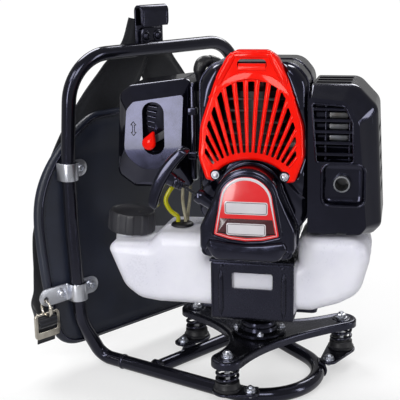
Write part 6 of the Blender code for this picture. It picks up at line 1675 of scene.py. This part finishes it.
def build_stage(light):
    """Pale floor that whitens with distance, six soft boxes, and a pale sky."""
    scene = bpy.context.scene
    scene.view_settings.view_transform = "Standard"
    build_floor()
    world = bpy.data.worlds.new("sky")
    world.use_nodes = True
    sky = world.node_tree.nodes["Background"]
    sky.inputs["Color"].default_value = WHITE
    world.node_tree.links.new(seen_level(world.node_tree, 0.22, 1.0), sky.inputs["Strength"])
    scene.world = world
    for name, place, width, height, power in LAMPS:
        lamp = bpy.data.lights.new(name, "AREA")
        lamp.shape, lamp.size, lamp.size_y, lamp.energy = "RECTANGLE", width, height, power * light
        towards = Vector(place) - AIM
        if name == "panel":
            towards.z = 0.0
        turn = towards.to_track_quat("Z", "Y").to_matrix().to_4x4()
        lamp_object = bpy.data.objects.new(name, lamp)
        lamp_object.matrix_world = Matrix.Translation(place) @ turn
        scene.collection.objects.link(lamp_object)


# Add-on

class FrameSizes(bpy.types.PropertyGroup):
    """Sizes of the carrying frame."""
    tube: FloatProperty(name="Tube radius", description="Half the outside diameter of the frame's tubes",
                        default=0.008, min=0.006, max=0.0084, unit="LENGTH", precision=4)
    pad_depth: FloatProperty(name="Pad thickness",
                             description="Thickness of the back pad between its channels", default=0.0082,
                             min=0.005, max=0.009, unit="LENGTH", precision=4)
    channel: FloatProperty(name="Channel depth", description="Depth of the channels sewn into the pad",
                           default=0.003, min=0.0, max=0.006, unit="LENGTH", precision=4)
    wire: FloatProperty(name="Spring wire radius",
                        description="Half the thickness of the mount springs' wire", default=0.00175,
                        min=0.001, max=0.0018, unit="LENGTH", precision=5)
    turns: FloatProperty(name="Spring turns", description="Turns of each mount spring", default=3.6, min=2.5,
                         max=5.0)


class EngineSizes(bpy.types.PropertyGroup):
    """Sizes of the engine's covers and controls."""
    tank_edge: FloatProperty(name="Tank edge radius", description="Radius of the tank's long edges",
                             default=0.014, min=0.006, max=0.02, unit="LENGTH", precision=4)
    flutes: IntProperty(name="Cap flutes", description="Flutes round the fuel cap", default=9, min=6, max=24)
    grip: FloatProperty(name="Grip length", description="Length of the starter grip",
                        default=0.074, min=0.06, max=0.076, unit="LENGTH", precision=4)
    slots: IntProperty(name="Cooling slots", description="Slots fanned over the cylinder cover",
                       default=17, min=7, max=17)
    wall: FloatProperty(name="Cover wall", description="Wall thickness of the cylinder cover",
                        default=0.0018, min=0.0012, max=0.003, unit="LENGTH", precision=5)


class Colours(bpy.types.PropertyGroup):
    """Colours of the moulded covers and the tank, each with the tone of its patches."""
    red_abs_tone: FloatVectorProperty(name="Covers", description="Main tone of the red covers",
                                      subtype="COLOR", default=linear("#f20a00")[:3], min=0.0, max=1.0)
    red_abs_patches: FloatVectorProperty(name="Covers' patches",
                                         description="Tone of the red covers' patches", subtype="COLOR",
                                         default=linear("#fb1404")[:3], min=0.0, max=1.0)
    tank_tone: FloatVectorProperty(name="Tank", description="Main tone of the fuel tank", subtype="COLOR",
                                   default=linear("#e0e0eb")[:3], min=0.0, max=1.0)
    tank_patches: FloatVectorProperty(name="Tank's patches", description="Tone of the fuel tank's patches",
                                      subtype="COLOR", default=linear("#ebebf4")[:3], min=0.0, max=1.0)


class StageSettings(bpy.types.PropertyGroup):
    """Strength of the studio light."""
    light: FloatProperty(name="Light", description="Power of every lamp, as a factor", default=1.0, min=0.1,
                         max=3.0, subtype="FACTOR")


class BRUSHCUTTER_OT_camera(bpy.types.Operator):
    """Place the camera on the photograph's line of sight"""
    bl_idname = "brushcutter.camera"
    bl_label = "Camera"

    def execute(self, context):
        build_camera()
        return {"FINISHED"}


class BRUSHCUTTER_OT_starter_grip(bpy.types.Operator):
    """Build the starter grip and its rope"""
    bl_idname = "brushcutter.starter_grip"
    bl_label = "Starter grip"

    def execute(self, context):
        build_grip(context.scene.brushcutter_engine.grip / MM)
        return {"FINISHED"}


class BRUSHCUTTER_OT_fuel_lines(bpy.types.Operator):
    """Build the fuel lines and their grommet"""
    bl_idname = "brushcutter.fuel_lines"
    bl_label = "Fuel lines"

    def execute(self, context):
        build_hoses()
        return {"FINISHED"}


class BRUSHCUTTER_OT_inner_pieces(bpy.types.Operator):
    """Finish the inner pieces and build the ignition lead"""
    bl_idname = "brushcutter.inner_pieces"
    bl_label = "Inner pieces"

    def execute(self, context):
        finish_kept()
        return {"FINISHED"}


class BRUSHCUTTER_OT_carrying_frame(bpy.types.Operator):
    """Build the hoop and the base loop"""
    bl_idname = "brushcutter.carrying_frame"
    bl_label = "Carrying frame"

    def execute(self, context):
        tube = context.scene.brushcutter_frame.tube / MM
        build_hoop(tube)
        build_loop(tube)
        return {"FINISHED"}


class BRUSHCUTTER_OT_pad(bpy.types.Operator):
    """Build the back pad with its piping and stitches, and its clamps"""
    bl_idname = "brushcutter.pad"
    bl_label = "Back pad"

    def execute(self, context):
        sizes = context.scene.brushcutter_frame
        build_pad(sizes.pad_depth / MM, sizes.channel / MM)
        build_clamps()
        return {"FINISHED"}


class BRUSHCUTTER_OT_spring_mounts(bpy.types.Operator):
    """Build the spring seats, springs, rubber cups and bolts"""
    bl_idname = "brushcutter.spring_mounts"
    bl_label = "Spring mounts"

    def execute(self, context):
        sizes = context.scene.brushcutter_frame
        build_seats()
        build_springs(sizes.wire / MM, sizes.turns)
        build_cups()
        build_spring_bolts()
        return {"FINISHED"}


class BRUSHCUTTER_OT_mount_plate(bpy.types.Operator):
    """Build the three-arm plate and its bearing housing"""
    bl_idname = "brushcutter.mount_plate"
    bl_label = "Mount plate"

    def execute(self, context):
        build_plate()
        build_hub()
        return {"FINISHED"}


class BRUSHCUTTER_OT_harness(bpy.types.Operator):
    """Build the strap hanger, the shoulder straps, their snap rings and their buckles"""
    bl_idname = "brushcutter.harness"
    bl_label = "Shoulder harness"

    def execute(self, context):
        build_hook()
        build_straps()
        build_buckles()
        return {"FINISHED"}


class BRUSHCUTTER_OT_tank(bpy.types.Operator):
    """Build the fuel tank, its cap, its cradle and the swivel post"""
    bl_idname = "brushcutter.tank"
    bl_label = "Fuel tank"

    def execute(self, context):
        sizes = context.scene.brushcutter_engine
        build_tank(sizes.tank_edge / MM)
        build_cap(sizes.flutes)
        build_cradle()
        build_post()
        return {"FINISHED"}


class BRUSHCUTTER_OT_starter(bpy.types.Operator):
    """Build the starter cover and its plain badge"""
    bl_idname = "brushcutter.starter"
    bl_label = "Starter cover"

    def execute(self, context):
        build_starter()
        build_badge()
        return {"FINISHED"}


class BRUSHCUTTER_OT_cylinder_cover(bpy.types.Operator):
    """Build the cylinder cover with its cooling slots"""
    bl_idname = "brushcutter.cylinder_cover"
    bl_label = "Cylinder cover"

    def execute(self, context):
        sizes = context.scene.brushcutter_engine
        build_cover(sizes.slots, sizes.wall / MM)
        return {"FINISHED"}


class BRUSHCUTTER_OT_shroud(bpy.types.Operator):
    """Build the fan shroud, the lead's boot and the clutch case"""
    bl_idname = "brushcutter.shroud"
    bl_label = "Fan shroud"

    def execute(self, context):
        build_shroud()
        build_boot()
        build_clutch()
        return {"FINISHED"}


class BRUSHCUTTER_OT_silencer_cover(bpy.types.Operator):
    """Build the silencer cover, its louvres and the outlet"""
    bl_idname = "brushcutter.silencer_cover"
    bl_label = "Silencer cover"

    def execute(self, context):
        build_silencer_cover()
        return {"FINISHED"}


class BRUSHCUTTER_OT_air_cleaner(bpy.types.Operator):
    """Build the air cleaner's cover and the choke's knob"""
    bl_idname = "brushcutter.air_cleaner"
    bl_label = "Air cleaner"

    def execute(self, context):
        build_air_cleaner()
        build_choke()
        return {"FINISHED"}


class BRUSHCUTTER_OT_stage(bpy.types.Operator):
    """Build the floor, the lamps and the sky"""
    bl_idname = "brushcutter.stage"
    bl_label = "Stage"

    def execute(self, context):
        build_stage(context.scene.brushcutter_stage.light)
        return {"FINISHED"}


GROUPS = (("brushcutter_frame", FrameSizes), ("brushcutter_engine", EngineSizes),
          ("brushcutter_colours", Colours), ("brushcutter_stage", StageSettings))
OPERATORS = (BRUSHCUTTER_OT_camera, BRUSHCUTTER_OT_starter_grip, BRUSHCUTTER_OT_fuel_lines,
             BRUSHCUTTER_OT_inner_pieces, BRUSHCUTTER_OT_carrying_frame, BRUSHCUTTER_OT_pad,
             BRUSHCUTTER_OT_spring_mounts, BRUSHCUTTER_OT_mount_plate, BRUSHCUTTER_OT_harness,
             BRUSHCUTTER_OT_tank, BRUSHCUTTER_OT_starter, BRUSHCUTTER_OT_cylinder_cover,
             BRUSHCUTTER_OT_shroud, BRUSHCUTTER_OT_silencer_cover, BRUSHCUTTER_OT_air_cleaner,
             BRUSHCUTTER_OT_stage)


class BRUSHCUTTER_PT_panel(bpy.types.Panel):
    """Lists the settings and a button for each group of pieces"""
    bl_idname = "BRUSHCUTTER_PT_panel"
    bl_label = "Brush cutter"
    bl_space_type = "VIEW_3D"
    bl_region_type = "UI"
    bl_category = "Brush cutter"

    def draw(self, context):
        for name, group in GROUPS:
            rows = self.layout.box()
            for key in group.__annotations__:
                rows.prop(getattr(context.scene, name), key)
        for operator in OPERATORS:
            self.layout.operator(operator.bl_idname)


CLASSES = tuple(group for _, group in GROUPS) + OPERATORS + (BRUSHCUTTER_PT_panel,)


def register():
    for made in CLASSES:
        bpy.utils.register_class(made)
    for name, group in GROUPS:
        setattr(bpy.types.Scene, name, PointerProperty(type=group))


def unregister():
    for name, _ in GROUPS:
        delattr(bpy.types.Scene, name)
    for made in reversed(CLASSES):
        bpy.utils.unregister_class(made)


def main():
    register()
    for operator in OPERATORS:
        group, name = operator.bl_idname.split(".")
        getattr(getattr(bpy.ops, group), name)()


if __name__ == "__main__":
    main()
